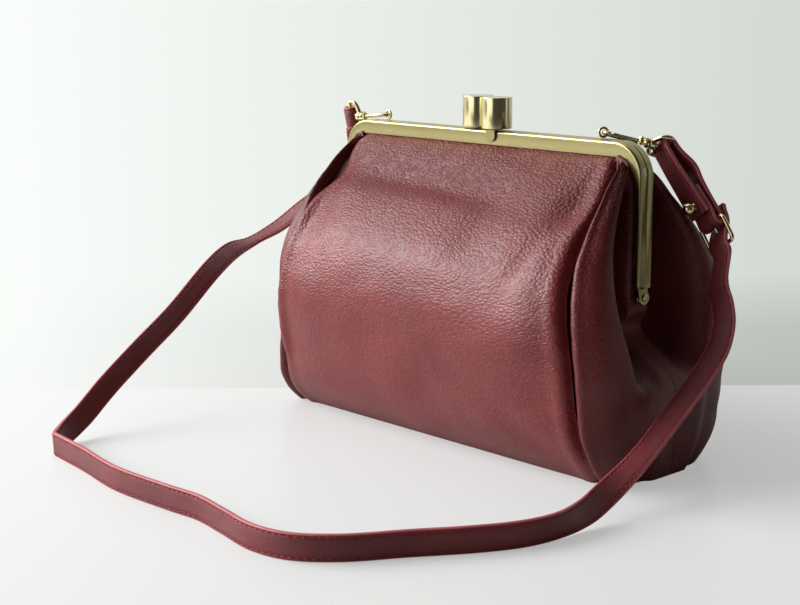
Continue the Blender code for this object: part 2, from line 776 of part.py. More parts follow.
def make_gate(word):
    place = hook_frame(word)
    pivot = gate_pivot()
    nose = Vector((0.13 * NECK_START + HOOK_WIRE + GAP * 2, -HOOK_CLAW_WIDTH * 0.74, 0))
    along = (nose - pivot).normalized()
    path = [pivot + along * GATE_EYE_RADIUS * 0.5, pivot + (nose - pivot) * 0.5, nose]
    origin = place @ pivot
    gate = brass(word + "_hook_gate", wire(path, GATE_WIRE, place), origin=origin)
    eye = cylinder(GATE_EYE_RADIUS, -GATE_WIRE, GATE_WIRE, place @ Matrix.Translation(pivot), sides=16)
    combine(gate, eye, "UNION")
    reach = GATE_WIRE + CUT_OVERRUN
    hole = cylinder(GATE_PIN_RADIUS + GAP, -reach, reach, place @ Matrix.Translation(pivot), sides=12)
    combine(gate, hole, "DIFFERENCE")
    head = GATE_WIRE + GAP * 2 + FORK_SHEET
    profile = [
        (0, head + GATE_PIN_HEAD),
        (GATE_PIN_HEAD_RADIUS, head + GATE_PIN_HEAD),
        (GATE_PIN_HEAD_RADIUS, head),
        (GATE_PIN_RADIUS, head),
        (GATE_PIN_RADIUS, -head),
        (GATE_PIN_HEAD_RADIUS, -head),
        (GATE_PIN_HEAD_RADIUS, -head - GATE_PIN_HEAD),
        (0, -head - GATE_PIN_HEAD),
    ]
    brass(word + "_hook_gate_pin", turned(profile, place @ Matrix.Translation(pivot), steps=12))


def eye_frame(word):
    """The swivel eye's frame: x along the hook, z along the eye's bar."""
    place = hook_frame(word)
    origin = place.translation
    along = Vector(HOOK_DIRECTIONS[word])
    bar = Vector(BAR_DIRECTIONS[word])
    across = bar.cross(along)
    return axes(origin, along, across)


def make_eye(word):
    """The swivel eye: a wire loop with a straight bar, on a boss that turns about the hook's stub."""
    place = eye_frame(word)
    start = BOSS_START + EYE_BOSS / 2
    wide = EYE_HALF_WIDTH
    outline_shares = (
        (0.0, 0.0), (0.04, 0.34), (0.22, 0.74), (0.45, 0.95), (0.8, 1.0), (0.95, 0.98), (1.0, 0.88), (1.0, 0.4),
        (1.0, 0.0),
    )
    length = BAR_PLACE - start
    half = [Vector((start + share * length, y * wide, 0)) for share, y in outline_shares]
    other = [Vector((p.x, -p.y, 0)) for p in half[1:-1]][::-1]
    tilted = place @ Matrix.Rotation(pi / 2, 4, "X")
    eye = brass(word + "_swivel_eye", wire(half + other, EYE_WIRE, tilted, closed=True), origin=place.translation)
    along = place @ turned_to((0, 0, 0), (1, 0, 0), (0, 1, 0))
    combine(eye, cylinder(EYE_BOSS_RADIUS, BOSS_START, BOSS_END, along, sides=20), "UNION")
    low = BOSS_START - CUT_OVERRUN
    high = BOSS_END + CUT_OVERRUN / 2
    combine(eye, cylinder(HOOK_STUB_RADIUS + GAP, low, high, along, sides=16), "DIFFERENCE")


# Strap

def band(route, widths):
    """A flat band: a route of centre points, and the band's width direction at each."""
    sections = []
    count = len(route)
    for i in range(count):
        along = (route[min(i + 1, count - 1)] - route[max(i - 1, 0)]).normalized()
        wide = widths[i].normalized()
        thick = along.cross(wide).normalized()
        across = wide * STRAP_WIDTH / 2
        through = thick * STRAP_THICKNESS / 2
        sections.append([
            route[i] - across - through,
            route[i] + across - through,
            route[i] + across + through,
            route[i] - across + through,
        ])
    return loft(sections)


def loop_round(centre, start, side, radius, steps=6):
    """Half a turn round a bar, from one side of it to the other, through its far side."""
    made = []
    for i in range(steps + 1):
        turn = pi * i / steps
        made.append(centre + side * radius * cos(turn) + start * radius * sin(turn))
    return made


# The long strap's lower edge, from the left hook down to the floor, along it, and up to the buckle, laid round a
# frame of this width
ROUTE_FRAME_WIDTH = 0.200
STRAP_EDGE_ROUTE = (
    (-0.1240, 0.0175, 0.1410),
    (-0.1310, 0.0250, 0.1300),
    (-0.1380, 0.0320, 0.1195),
    (-0.1490, 0.0280, 0.1040),
    (-0.1600, 0.0160, 0.0920),
    (-0.1670, 0.0030, 0.0820),
    (-0.1710, -0.0100, 0.0765),
    (-0.1680, -0.0260, 0.0710),
    (-0.1570, -0.0500, 0.0628),
    (-0.1465, -0.0820, 0.0445),
    (-0.1366, -0.1125, 0.0302),
    (-0.1285, -0.1380, 0.0175),
    (-0.1230, -0.1560, 0.0070),
    (-0.1180, -0.1710, 0.0010),
    (-0.1105, -0.1825, 0.0),
    (-0.1065, -0.1862, 0.0),
    (-0.1000, -0.1872, 0.0),
    (-0.0750, -0.1900, 0.0),
    (-0.0400, -0.1952, 0.0),
    (-0.0030, -0.1938, 0.0),
    (0.0180, -0.1922, 0.0),
    (0.0400, -0.1952, 0.0),
    (0.0620, -0.1982, 0.0),
    (0.0810, -0.1940, 0.0),
    (0.0970, -0.1800, 0.0),
    (0.1110, -0.1580, 0.0),
    (0.1250, -0.1370, 0.0),
    (0.1345, -0.1180, 0.0),
    (0.1385, -0.1000, 0.0004),
    (0.1392, -0.0820, 0.0018),
    (0.1392, -0.0670, 0.0065),
    (0.1390, -0.0520, 0.0140),
    (0.1385, -0.0380, 0.0222),
    (0.1380, -0.0242, 0.0308),
    (0.1382, -0.0093, 0.0415),
    (0.1392, 0.0010, 0.0505),
    (0.1398, 0.0103, 0.0603),
    (0.1383, 0.0163, 0.0718),
    (0.1338, 0.0204, 0.0812),
    (0.1274, 0.0249, 0.0893),
)
# The strap's width direction at places along that route: (point number, direction)
STRAP_TURNS = (
    (0, (-0.10, 0.12, 0.98)),
    (1, (-0.25, 0.25, 0.92)),
    (4, (-0.60, 0.50, 0.62)),
    (6, (-0.72, 0.60, 0.25)),
    (8, (-0.65, 0.05, 0.70)),
    (10, (-0.52, -0.25, 0.80)),
    (12, (-0.40, -0.25, 0.85)),
    (14, (-0.06, -0.05, 0.99)),
    (16, (0.0, 0.0, 1.0)),
    (28, (0.0, 0.0, 1.0)),
    (29, (-0.35, 0.0, 0.94)),
    (30, (-0.70, 0.0, 0.70)),
    (31, (-0.93, 0.0, 0.36)),
    (32, (-1.0, 0.0, 0.10)),
    (36, (-1.0, -0.10, 0.0)),
    (38, (-0.93, -0.05, -0.35)),
    (39, (-0.85, -0.06, -0.50)),
)
TAB_DIRECTION = (0.597, 0.060, -0.800)
BUCKLE_DIRECTION = (0.480, -0.050, -0.870)
BUCKLE_BAR_DIRECTION = (0.790, -0.060, 0.600)


def strap_turn(i):
    """The width direction at a point number of the strap's route, smoothly between the named ones."""
    low = max((t for t in STRAP_TURNS if t[0] <= i), key=lambda t: t[0])
    high = min((t for t in STRAP_TURNS if t[0] >= i), key=lambda t: t[0])
    if low[0] == high[0]:
        return Vector(low[1])
    share = (i - low[0]) / (high[0] - low[0])
    share = share * share * (3 - 2 * share)
    return Vector(low[1]).lerp(Vector(high[1]), share)


def bar_centre(word):
    return eye_frame(word) @ Vector((BAR_PLACE, 0, 0))


def bar_axis(word):
    return (eye_frame(word).to_3x3() @ Vector((0, 0, 1))).normalized()


TAB_PITCH = STRAP_THICKNESS + GAP * 2


def tab_axes(share):
    """The tab's middle plane at a share of its length: a point, the way down, the way to its far face, and its
    width direction, which turns from the eye's bar to the buckle's bar."""
    down = Vector(TAB_DIRECTION).normalized()
    turn = min(max(share, 0), 1)
    wide = bar_axis("right").lerp(Vector(BUCKLE_BAR_DIRECTION).normalized(), turn * turn * (3 - 2 * turn))
    wide = (wide - down * wide.dot(down)).normalized()
    return bar_centre("right") + down * TAB_LENGTH * share, down, wide.cross(down).normalized(), wide


def buckle_frame():
    """The buckle's frame: origin at its heel bar, x towards its end bar, z along the bars."""
    end, down, side, bar = tab_axes(1)
    heel = end + side * TAB_PITCH / 2
    x = Vector(BUCKLE_DIRECTION)
    x = (x - bar * x.dot(bar)).normalized()
    z = bar
    return Matrix.Translation(heel) @ Matrix((x, z.cross(x), z)).transposed().to_4x4()


def tab_point(share, offset):
    """A point on the tab's middle line at a share of its length, moved towards its far face."""
    point, down, side, wide = tab_axes(share)
    return point + side * offset


def make_tab():
    """The short tab: down its near face it starts, round the eye's bar, down the far face, round the buckle's heel
    bar and up again between the two."""
    origin, down, side, bar = tab_axes(0)
    end, down, end_side, end_bar = tab_axes(1)
    place = buckle_frame()
    pitch = TAB_PITCH
    stations = [(share, -pitch) for share in (TAB_NEAR_SHARE, STUD_SHARE, 0.6, 0.5, 0.4, 0.25)]
    near = [tab_point(share, offset) for share, offset in stations]
    eye_turn = loop_round(origin, -down, -side, LOOP_RADIUS)
    far_stations = (
        (0.15, 0.1),
        (0.35, 1.0),
        (0.55, 0.6),
        (STUD_SHARE, STUD_SLACK_SHARE),
        (0.85, STUD_SLACK_SHARE),
    )
    far = [tab_point(share, pitch + TAB_SLACK * slack) for share, slack in far_stations]
    heel_turn = loop_round(place.translation, down, end_side, LOOP_RADIUS)
    tail_shares = (0.87, STUD_SHARE, 0.68, TAB_TAIL_SHARE)
    tail = [tab_point(share, 0) for share in tail_shares]
    shares = [share for share, offset in stations] + [0] * len(eye_turn)
    shares += [share for share, slack in far_stations] + [1] * len(heel_turn) + list(tail_shares)
    widths = [tab_axes(share)[3] for share in shares]
    made = leather("strap_tab", band(near + eye_turn + far + heel_turn + tail, widths))
    slot_low = (-LOOP_RADIUS * 2, -LOOP_RADIUS * 2, -PRONG_SLOT / 2)
    slot_high = (LOOP_RADIUS * 2, LOOP_RADIUS * 1.2, PRONG_SLOT / 2)
    combine(made, box(slot_low, slot_high, place), "DIFFERENCE")
    stud = stud_frame()
    reach = STRAP_THICKNESS * 4
    combine(made, cylinder(STUD_SHANK + GAP, -reach, reach, stud, sides=12), "DIFFERENCE")


def stud_frame():
    """The ball stud's frame: z out of the tab's near face."""
    point, down, side, wide = tab_axes(STUD_SHARE)
    return turned_to(point, -side, down)


def make_stud():
    pitch = TAB_PITCH
    near = pitch + STRAP_THICKNESS / 2 + GAP * 3
    far = -(pitch + TAB_SLACK * STUD_SLACK_SHARE + STRAP_THICKNESS / 2 + GAP * 4)
    ball = STUD_BALL_RADIUS
    profile = []
    steps = 6
    for i in range(steps + 1):
        turn = pi / 2 - pi * 0.72 * i / steps
        profile.append((ball * cos(turn), near + ball * 0.75 + ball * sin(turn)))
    profile[0] = (0, profile[0][1])
    profile += [
        (profile[-1][0], near),
        (STUD_SHANK, near),
        (STUD_SHANK, far),
        (STUD_FOOT_RADIUS, far),
        (STUD_FOOT_RADIUS, far - STUD_FOOT),
        (0, far - STUD_FOOT),
    ]
    brass("tab_ball_stud", turned(profile, stud_frame(), steps=20))


def make_buckle():
    place = buckle_frame()
    half = BUCKLE_INNER_WIDTH / 2 + BUCKLE_WIRE
    long = BUCKLE_LENGTH
    bend = BUCKLE_WIRE * 2
    corners = [(0, -half, pi, 1.5 * pi), (long, -half, 1.5 * pi, 2 * pi), (long, half, 0, pi / 2), (0, half, pi / 2, pi)]
    path = []
    for x, z, low, high in corners:
        centre_x = x + (bend if x == 0 else -bend)
        centre_z = z + (bend if z < 0 else -bend)
        for i in range(5):
            turn = low + (high - low) * i / 4
            path.append(Vector((centre_x + bend * cos(turn), centre_z + bend * sin(turn), 0)))
    upright = place @ Matrix.Rotation(pi / 2, 4, "X")
    brass("buckle_frame", wire(path, BUCKLE_WIRE, upright, closed=True))
    eye = PRONG_EYE_RADIUS
    rest = BUCKLE_WIRE + PRONG_WIRE + GAP
    tip = Vector((long + BUCKLE_WIRE * 0.8, rest, 0))
    start = Vector((eye * 0.8, eye * 0.2, 0))
    path = [start, start.lerp(tip, 0.5), tip]
    prong = brass("buckle_prong", wire(path, PRONG_WIRE, place), origin=place.translation)
    combine(prong, cylinder(eye, -PRONG_WIRE, PRONG_WIRE, place, sides=20), "UNION")
    reach = PRONG_WIRE + CUT_OVERRUN
    combine(prong, cylinder(BUCKLE_WIRE + GAP, -reach, reach, place, sides=16), "DIFFERENCE")


def strap_route():
    """The long strap's centre line and width directions: its folded left end, its free run, and its end in the
    buckle."""
    half = STRAP_WIDTH / 2
    spread = FRAME_WIDTH / ROUTE_FRAME_WIDTH
    edge = [Vector((x * spread, y, z)) for x, y, z in STRAP_EDGE_ROUTE]
    count = len(edge)
    turns = [strap_turn(i).normalized() for i in range(count)]
    run = []
    for i, point in enumerate(edge):
        before = edge[max(i - 1, 0)]
        after = edge[min(i + 1, count - 1)]
        along = (after - before).normalized()
        wide = turns[i]
        if point.z > 0:
            wide = (wide - along * wide.dot(along)).normalized()
        turns[i] = wide
        run.append(point + wide * half)
    bar = bar_axis("left")
    if bar.z < 0:
        bar = -bar
    centre = bar_centre("left") - bar * FOLD_DROP
    away = run[0] - centre
    away = (away - bar * away.dot(bar)).normalized()
    side = bar.cross(away).normalized()
    pitch = (STRAP_THICKNESS + GAP) / 2
    tail = [centre + away * LOOP_RADIUS * s + side * b for s, b in
            ((5.0, pitch), (3.5, pitch), (2.0, pitch + LEATHER))]
    turn = loop_round(centre, -away, side, LOOP_RADIUS)
    out = [centre + away * LOOP_RADIUS * s - side * b for s, b in ((2.0, pitch + LEATHER), (3.5, pitch), (5.0, pitch))]
    place = buckle_frame()
    buckle_bar = (place.to_3x3() @ Vector((0, 0, 1))).normalized()
    clear = BUCKLE_WIRE + GAP * 3 + STRAP_THICKNESS / 2
    over = LOOP_RADIUS + STRAP_THICKNESS + GAP * 4
    long = BUCKLE_LENGTH
    end_shares = ((1.4, -1.2), (1.0, -1.0))
    ending = [place @ Vector((long * x, clear * y, 0)) for x, y in end_shares]
    ending += [place @ Vector((long * x, over * y, 0)) for x, y in ((0.55, 0.15), (0.25, 0.75), (0.0, 1.0))]
    back = [place @ Vector((-long * x, over * y, 0)) for x, y in ((0.25, 1.1), (0.5, 1.3))]
    route = tail + turn + out + run + ending + back
    widths = [bar] * (len(tail) + len(turn) + len(out)) + turns + [-buckle_bar] * (len(ending) + len(back))
    return route, widths


def make_strap():
    route, widths = strap_route()
    fine = smooth_path(route, 2)
    fine_widths = smooth_path(widths, 2)
    strap = leather("shoulder_strap", band(fine, fine_widths))
    place = buckle_frame()
    wide = PRONG_WIRE + GAP * 2
    slot_low = (BUCKLE_LENGTH * 0.25, -STRAP_WIDTH / 2, -wide)
    slot_high = (BUCKLE_LENGTH * 0.8, STRAP_WIDTH / 2, wide)
    combine(strap, box(slot_low, slot_high, place), "DIFFERENCE")


make_frame()
make_clasp()
make_body()
make_channel_cords()
for hand in ("left", "right"):
    make_eyelet(hand)
    make_hook(hand)
    make_gate(hand)
    make_eye(hand)
make_tab()
make_stud()
make_buckle()
make_strap()
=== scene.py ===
"""Looks of a leather frame handbag: oxblood leather body, brass kiss-lock frame, strap on snap hooks."""

from math import cos, pi, radians, sin, sqrt

import bmesh
import bpy
import numpy as np
from mathutils import Matrix, Vector, noise


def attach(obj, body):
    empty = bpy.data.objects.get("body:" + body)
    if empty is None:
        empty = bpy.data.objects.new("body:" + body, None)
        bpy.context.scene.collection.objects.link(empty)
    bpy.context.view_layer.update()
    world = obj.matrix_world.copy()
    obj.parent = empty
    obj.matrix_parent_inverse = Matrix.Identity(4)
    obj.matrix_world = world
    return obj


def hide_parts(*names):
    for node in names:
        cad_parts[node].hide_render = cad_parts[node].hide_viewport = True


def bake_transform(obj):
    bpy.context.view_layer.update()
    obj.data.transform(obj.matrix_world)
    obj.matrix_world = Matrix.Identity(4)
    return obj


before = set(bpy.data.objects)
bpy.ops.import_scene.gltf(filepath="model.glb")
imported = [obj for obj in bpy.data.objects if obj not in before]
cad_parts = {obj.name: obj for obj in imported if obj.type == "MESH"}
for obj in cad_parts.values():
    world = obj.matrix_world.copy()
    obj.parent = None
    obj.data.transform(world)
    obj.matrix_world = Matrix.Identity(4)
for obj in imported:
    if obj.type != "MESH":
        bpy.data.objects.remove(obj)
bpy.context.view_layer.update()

# Clearances and frame sizes
GAP = 0.0003
MID_GAP = GAP / 2
SOFT_EDGE = 0.0001
FRAME_WIDTH = 0.200
FRAME_TOP = 0.151
HALF_DEPTH = 0.0047
SHEET = 0.0009
BAR_FACE = 0.007
ARM_FACE = 0.003
CORNER_RADIUS = 0.016
INNER_CORNER = CORNER_RADIUS - ARM_FACE
EDGE_ROUND = 0.0012
HINGE_Z = 0.0806
EAR_RADIUS = 0.0036
EAR_NECK_SHARES = (0.6, 0.8)
CHANNEL_BEVEL_SHARE = 0.3
CHANNEL_END = HINGE_Z + EAR_RADIUS + GAP * 2
RIVET_RADIUS = 0.0011
RIVET_HEAD_RADIUS = 0.00175
RIVET_HEAD = 0.0008
BAR_Z = FRAME_TOP - BAR_FACE

# Clasp
KNOB_RADIUS = 0.0076
KNOB_HEIGHT = 0.0151
KNOB_EDGE = 0.0003
KNOB_FACE_SHARE = 0.86
KNOB_SPACING = 0.0156
KNOB_OFFSET = 0.0015
KNOB_LIFT = 0.0010
TONGUE_WIDTH = 0.0062
TONGUE_DROP = 0.0055
TONGUE_SHEET = 0.0009
TONGUE_EDGE = 0.0003
TONGUE_NECK_RADIUS = 0.0024

# Body
LEATHER = 0.0012
LINING = 0.0006
LINING_START = 0.006
BODY_HALF_WIDTH = 0.101
BODY_HALF_DEPTH = 0.0525
GUSSET_REACH = 0.1195
PANEL_CROWN = 0.008
CROWN_RISE_POWER = 1.2
CROWN_EDGE_POWER = 6
MOUTH_TUCK = 0.0042
SPLIT_Z = HINGE_Z - 0.0035
LIP_Z = BAR_Z
LIP_WIDTH_SHARE = 0.85
BASE_EDGE = 0.0008
BASE_EDGE_RISE = 0.0005

PROFILE_SHARES = (
    # height, seam depth, seam width, gusset crest depth, gusset crest reach, gusset middle reach
    (0.0, 0.630, 1.022, 0.330, 0.950, 0.975),
    (0.02, 0.695, 1.032, 0.370, 0.956, 0.982),
    (0.053, 0.785, 1.038, 0.420, 0.962, 0.989),
    (0.1, 0.868, 1.030, 0.480, 0.968, 0.997),
    (0.166, 0.930, 1.008, 0.530, 0.973, 1.0),
    (0.245, 0.962, 1.0, 0.570, 0.975, 0.998),
    (0.331, 0.990, 1.0, 0.590, 0.977, 0.975),
    (0.417, 1.0, 0.988, 0.620, 0.966, 0.880),
    (0.503, 0.988, 0.966, 0.665, 0.950, 0.812),
    (0.583, 0.937, 0.944, 0.676, 0.928, 0.808),
    (0.649, 0.855, 0.930, 0.645, 0.903, 0.808),
    (0.715, 0.735, 0.920, 0.572, 0.874, 0.808),
    (0.781, 0.590, 0.913, 0.460, 0.845, 0.808),
    (0.841, 0.425, 0.906, 0.335, 0.819, 0.806),
    (0.887, 0.293, 0.899, 0.215, 0.797, 0.800),
    (0.921, 0.190, 0.890, 0.112, 0.778, 0.782),
)
TOP_ROW = PROFILE_SHARES[-1][0] * FRAME_TOP
MOUTH_HALF = MID_GAP + SHEET + GAP * 2
ARM_CLEAR = MID_GAP + HALF_DEPTH + GAP * 3

# The gusset: shares of its way from the seam to its middle, and how far its hollow sinks between which heights
RIDGE_SHARE = 0.4
HOLLOW_SHARE = 0.9
HOLLOW_WALL_SHARE = 0.55
HOLLOW_SINK = 0.018
SINK_STARTS = (0.040, 0.062)
SINK_ENDS = (0.118, 0.136)
SINK_WALL_SHARES = (0.15, 0.5)
SINK_MIDDLE_SHARES = (0.72, 1.0)
HELD_FROM = (0.064, 0.0762)
HELD_SHARE = 0.4
CORNER_SPREAD = 3

# Fineness of the leather's grids
PANEL_STEP = 0.0013
PANEL_LINING_STEP = 0.003
GUSSET_STEP = 0.0016
GUSSET_COLUMNS = 62
FLOOR_PANEL_STEPS = 60
FLOOR_GUSSET_STEPS = 30

# Sewn edges of the leather: how deep they are drawn in, and the roll beside the seam
BASE_RISE = 0.02
BASE_SEWN_SHARE = 0.35
PANEL_SEAM_SINK = 0.0036
PANEL_SEAM_REACH = 0.0020
PANEL_ROLL = 0.0008
PANEL_ROLL_PLACE = 0.0060
PANEL_ROLL_REACH = 0.0034
GUSSET_SEAM_SINK = 0.0042
GUSSET_SEAM_REACH = 0.0024
GUSSET_ROLL = 0.0012
GUSSET_ROLL_PLACE = 0.0055
GUSSET_ROLL_REACH = 0.0032
GUSSET_RIDGE_REACH = 0.028

# The left front seam, where the panel puffs up over a gusset ridge that is pressed flat
PUFF = 0.0018
PUFF_PLACE = 0.0048
PUFF_REACH = 0.0036
PUFF_SEAM_SHARE = 0.5
PRESS = 0.0030
PRESS_PLACE = 0.009
PRESS_REACH = 0.008
PUFF_STARTS = (0.02, 0.04)
PUFF_ENDS = (0.100, 0.120)
PRESS_ENDS = (0.100, 0.125)

# Wrinkles of the leather: height, waves in a metre across and up, and a slice of the noise
PANEL_PUCKER = (0.0010, 25, 120, 4.0)
PANEL_GATHER = (0.0007, 110, 18, 9.0)
PANEL_WAVE = (0.0014, 22, 34, 2.0)
PANEL_RIPPLE = (0.0004, 55, 75, 5.0)
GUSSET_PUCKER = (0.0011, 25, 110, 1.0)
GUSSET_FOLD = (0.0016, 60, 14, 3.0)
GUSSET_WAVE = (0.0009, 30, 30, 7.0)
PANEL_PUCKER_REACH = 0.011
GUSSET_PUCKER_REACH = 0.012
PUCKER_RISE = (0.004, 0.02)
GATHER_REACH = 0.020
GATHER_MIDDLE_SHARE = 0.35
GATHER_SIDE_SHARES = (0.55, 0.95)
WAVE_RISE = (0.0, 0.03)
WAVE_LIP_CALM = (0.0, 0.02)
WAVE_EDGE_CALM = (0.0, 0.02)
FOLD_START_SHARES = (0.15, 0.5)
FOLD_RISE = (0.0, 0.015)
FOLD_CALM = (0.05, 0.08)
FOLD_CALM_SHARE = 0.6
GUSSET_WAVE_START_SHARES = (0.05, 0.3)
GUSSET_WAVE_RISE = (0.0, 0.02)
HOLLOW_CALM_SHARE = 0.86
HOLLOW_CALM_DROP = 0.004
PANEL_SEEDS = {-1: 3.1, 1: 17.7}
GUSSET_SEEDS = (5.3, 11.1)
PANEL_LIP_CALM = (-0.001, 0.004)
GUSSET_LIP_CALM = (-0.001, 0.010)

# Soft dents and swells of the front and back: x, z, reach along, reach up, tilt, height
PANEL_SWELLS = (
    (-0.020, 0.137, 0.075, 0.004, -0.02, 0.0012),
    (-0.030, 0.1265, 0.062, 0.0055, -0.03, -0.0034),
    (0.033, 0.112, 0.010, 0.014, 0.0, -0.0014),
    (0.030, 0.122, 0.050, 0.006, -0.10, -0.0016),
    (0.080, 0.124, 0.011, 0.008, 0.30, -0.0034),
    (-0.030, 0.052, 0.050, 0.014, 0.25, -0.0012),
    (0.065, 0.026, 0.030, 0.007, -0.55, -0.0014),
    (0.000, 0.095, 0.050, 0.014, 0.10, 0.0014),
    (0.078, 0.076, 0.016, 0.018, 0.40, 0.0016),
    (-0.080, 0.122, 0.006, 0.020, 0.35, -0.0020),
    (-0.087, 0.118, 0.004, 0.020, 0.30, -0.0016),
    (-0.089, 0.127, 0.007, 0.012, 0.50, -0.0022),
    (0.070, 0.100, 0.006, 0.020, -0.40, -0.0010),
)

# Strap fittings
EYELET_SPACING = 0.146
EYELET_RADIUS = 0.0021
EYELET_WIRE = 0.0006
EYELET_SETBACK = 0.0011
HOOK_WIRE = 0.001
HOOK_CLAW_WIDTH = 0.0041
HOOK_CLAW_LENGTH = 0.0184
HOOK_NECK_RADIUS = 0.0025
HOOK_NECK = 0.002
HOOK_HEAD_RADIUS = 0.0013
HOOK_HEAD = 0.001
HOOK_STUB_RADIUS = 0.0008
NECK_SOFT_SHARE = 0.12
NECK_GROOVE = (0.0007, 0.0009, 0.0011)
GATE_WIRE = 0.00065
GATE_EYE_RADIUS = 0.0015
GATE_PIVOT_SHARE = 0.4
GATE_NOSE_SHARE = 0.74
GATE_NOSE_CLEAR = 0.0014
GATE_PIN_RADIUS = 0.00045
GATE_PIN_HEAD_RADIUS = 0.0009
GATE_PIN_HEAD = 0.0004
FORK_SHEET = 0.0005
FORK_RADIUS = 0.0017
FORK_LUG_SHARE = 0.8
EYE_WIRE = 0.00105
EYE_SWELL_SHARE = 0.25
EYE_SWELL_PLACE_SHARES = (0.1, 0.25)
EYE_BOSS = 0.0026
EYE_BOSS_RADIUS = 0.0026
EYE_BOSS_EDGE = 0.0003
EYE_BOSS_FACE_SHARE = 0.86
EYE_HOLE_RADIUS = 0.0012
EYE_REACH = 0.0054
EYE_HALF_WIDTH = 0.0083
RING_Z = FRAME_TOP + GAP + EYELET_RADIUS + EYELET_WIRE
HOOK_DIRECTIONS = {"left": (-0.990, 0.05, -0.10), "right": (0.500, 0.830, -0.245)}
HOOK_SIDES = {"left": (0.0, 1.0, 0.0), "right": (-1.0, 0.0, 0.0)}
BAR_DIRECTIONS = {"left": (0.0, -0.15, 0.99), "right": (0.775, -0.303, 0.556)}
NECK_START = HOOK_CLAW_LENGTH + GATE_EYE_RADIUS + GAP * 2
NECK_END = NECK_START + HOOK_NECK
BOSS_START = NECK_END + GAP
BOSS_END = BOSS_START + EYE_BOSS
HEAD_START = BOSS_END + GAP
BAR_PLACE = BOSS_END + EYE_REACH
# The claw from the neck round to its tip, as shares of the neck's start and of the claw's width
CLAW_SHARES = (
    (1.04, 0.30), (0.95, 0.62), (0.7, 0.92), (0.4, 1.0), (0.14, 0.82),
    (0.01, 0.4), (0.0, 0.0), (0.04, -0.42), (0.13, -0.72),
)
# The claw's thickness at the neck, what it loses towards the tip, and between which shares of its length
CLAW_THICK_SHARE = 1.18
CLAW_THINNING_SHARE = 0.36
CLAW_TAPER_SHARES = (0.1, 0.7)
# The rounded heads of the stub and of the gate's pin: radius, height
STUB_HEAD_SHARES = ((0.6, 0.95), (1.0, 0.6), (1.0, 0.0))
PIN_HEAD_SHARES = ((0.0, 1.0), (2 / 3, 0.875), (1.0, 0.25), (1.0, 0.0))
# Place along the gate and its thickness there
GATE_SHARES = ((0.08, 1.0), (0.3, 1.0), (0.55, 0.95), (0.8, 0.9), (1.0, 0.85))
# Half of the swivel eye, from its boss to the middle of its bar
EYE_SHARES = (
    (0.0, 0.0), (0.04, 0.34), (0.22, 0.74), (0.45, 0.95), (0.8, 1.0),
    (0.95, 0.98), (1.0, 0.88), (1.0, 0.4), (1.0, 0.0),
)

# Strap, tab and buckle
STRAP_WIDTH = 0.0116
STRAP_THICKNESS = 0.0022
STRAP_END_SHARE = 0.96
STRAP_SPAN_STEPS = 8
TAB_LENGTH = 0.0415
TAB_NEAR_SHARE = 0.89
TAB_TAIL_SHARE = 0.57
TAB_SLACK = 0.003
TAB_PITCH = STRAP_THICKNESS + GAP * 2
TAB_SPAN_STEPS = 5
STUD_SLACK_SHARE = 0.4
STUD_SHARE = 0.78
STUD_SHANK = 0.0009
STUD_BALL_RADIUS = 0.0029
STUD_BALL_TURN_SHARE = 0.76
STUD_BALL_SEAT_SHARE = 0.75
STUD_NECK = 0.0012
STUD_NECK_RADIUS = 0.0013
STUD_COLLAR = 0.0004
STUD_COLLAR_RADIUS = 0.0021
STUD_FOOT = 0.0006
STUD_FOOT_RADIUS = 0.0022
STUD_FOOT_FACE_RADIUS = 0.0019
STUD_FOOT_EDGE = 0.0002
BUCKLE_WIRE = 0.001
LOOP_RADIUS = BUCKLE_WIRE + GAP + STRAP_THICKNESS / 2
BUCKLE_LENGTH = 0.0125
BUCKLE_INNER_WIDTH = 0.0128
BUCKLE_BEND = BUCKLE_WIRE * 2
PRONG_WIRE = 0.0007
PRONG_EYE_RADIUS = 0.0021
PRONG_START_SHARES = (0.8, 0.2)
PRONG_TIP_SHARE = 0.8
# Place along the prong and its thickness there
PRONG_SHARES = ((0, 1), (0.25, 1), (0.5, 0.97), (0.75, 0.92), (0.93, 0.8), (1.0, 0.35))
FOLD_DROP = 0.0004
# The tab's folded run: near face, far face with its slack, and the tail between them
TAB_NEAR_SHARES = (TAB_NEAR_SHARE, STUD_SHARE, 0.6, 0.5, 0.4, 0.25)
TAB_FAR_SHARES = (
    (0.15, 0.1), (0.35, 1.0), (0.55, 0.6), (STUD_SHARE, STUD_SLACK_SHARE), (0.85, STUD_SLACK_SHARE),
)
TAB_TAIL_SHARES = (0.87, STUD_SHARE, 0.68, TAB_TAIL_SHARE)
TAB_DIRECTION = (0.597, 0.060, -0.800)
BUCKLE_DIRECTION = (0.480, -0.050, -0.870)
BUCKLE_BAR_DIRECTION = (0.790, -0.060, 0.600)
# The strap's left fold in loop radii from the eye's bar, its first places held together and its last one open
FOLD_SHARES = (5.0, 3.5, 2.0)
# The strap through the buckle, in buckle lengths and clearances: under the end bar, up and over the heel bar
UNDER_BUCKLE_SHARES = ((1.4, -1.2), (1.0, -1.0))
OVER_HEEL_SHARES = ((0.55, 0.15), (0.25, 0.75), (0.0, 1.0), (-0.25, 1.1), (-0.5, 1.3))
# The strap's section as shares of its half width and half thickness: its flat, then from one stitch groove
# round its edge to the next
FLAT_SHARES = ((0.0, 1.03), (0.4, 1.02))
SECTION_SIDE_SHARES = (
    (0.72, 1.0), (0.765, 0.84), (0.81, 1.0), (0.90, 0.98),
    (0.955, 0.86), (0.985, 0.55), (0.995, 0.14), (0.975, 0.0),
)
EDGE_PAINT_SHARE = 0.90
STITCH_LINE_SHARES = (0.765, 0.93)
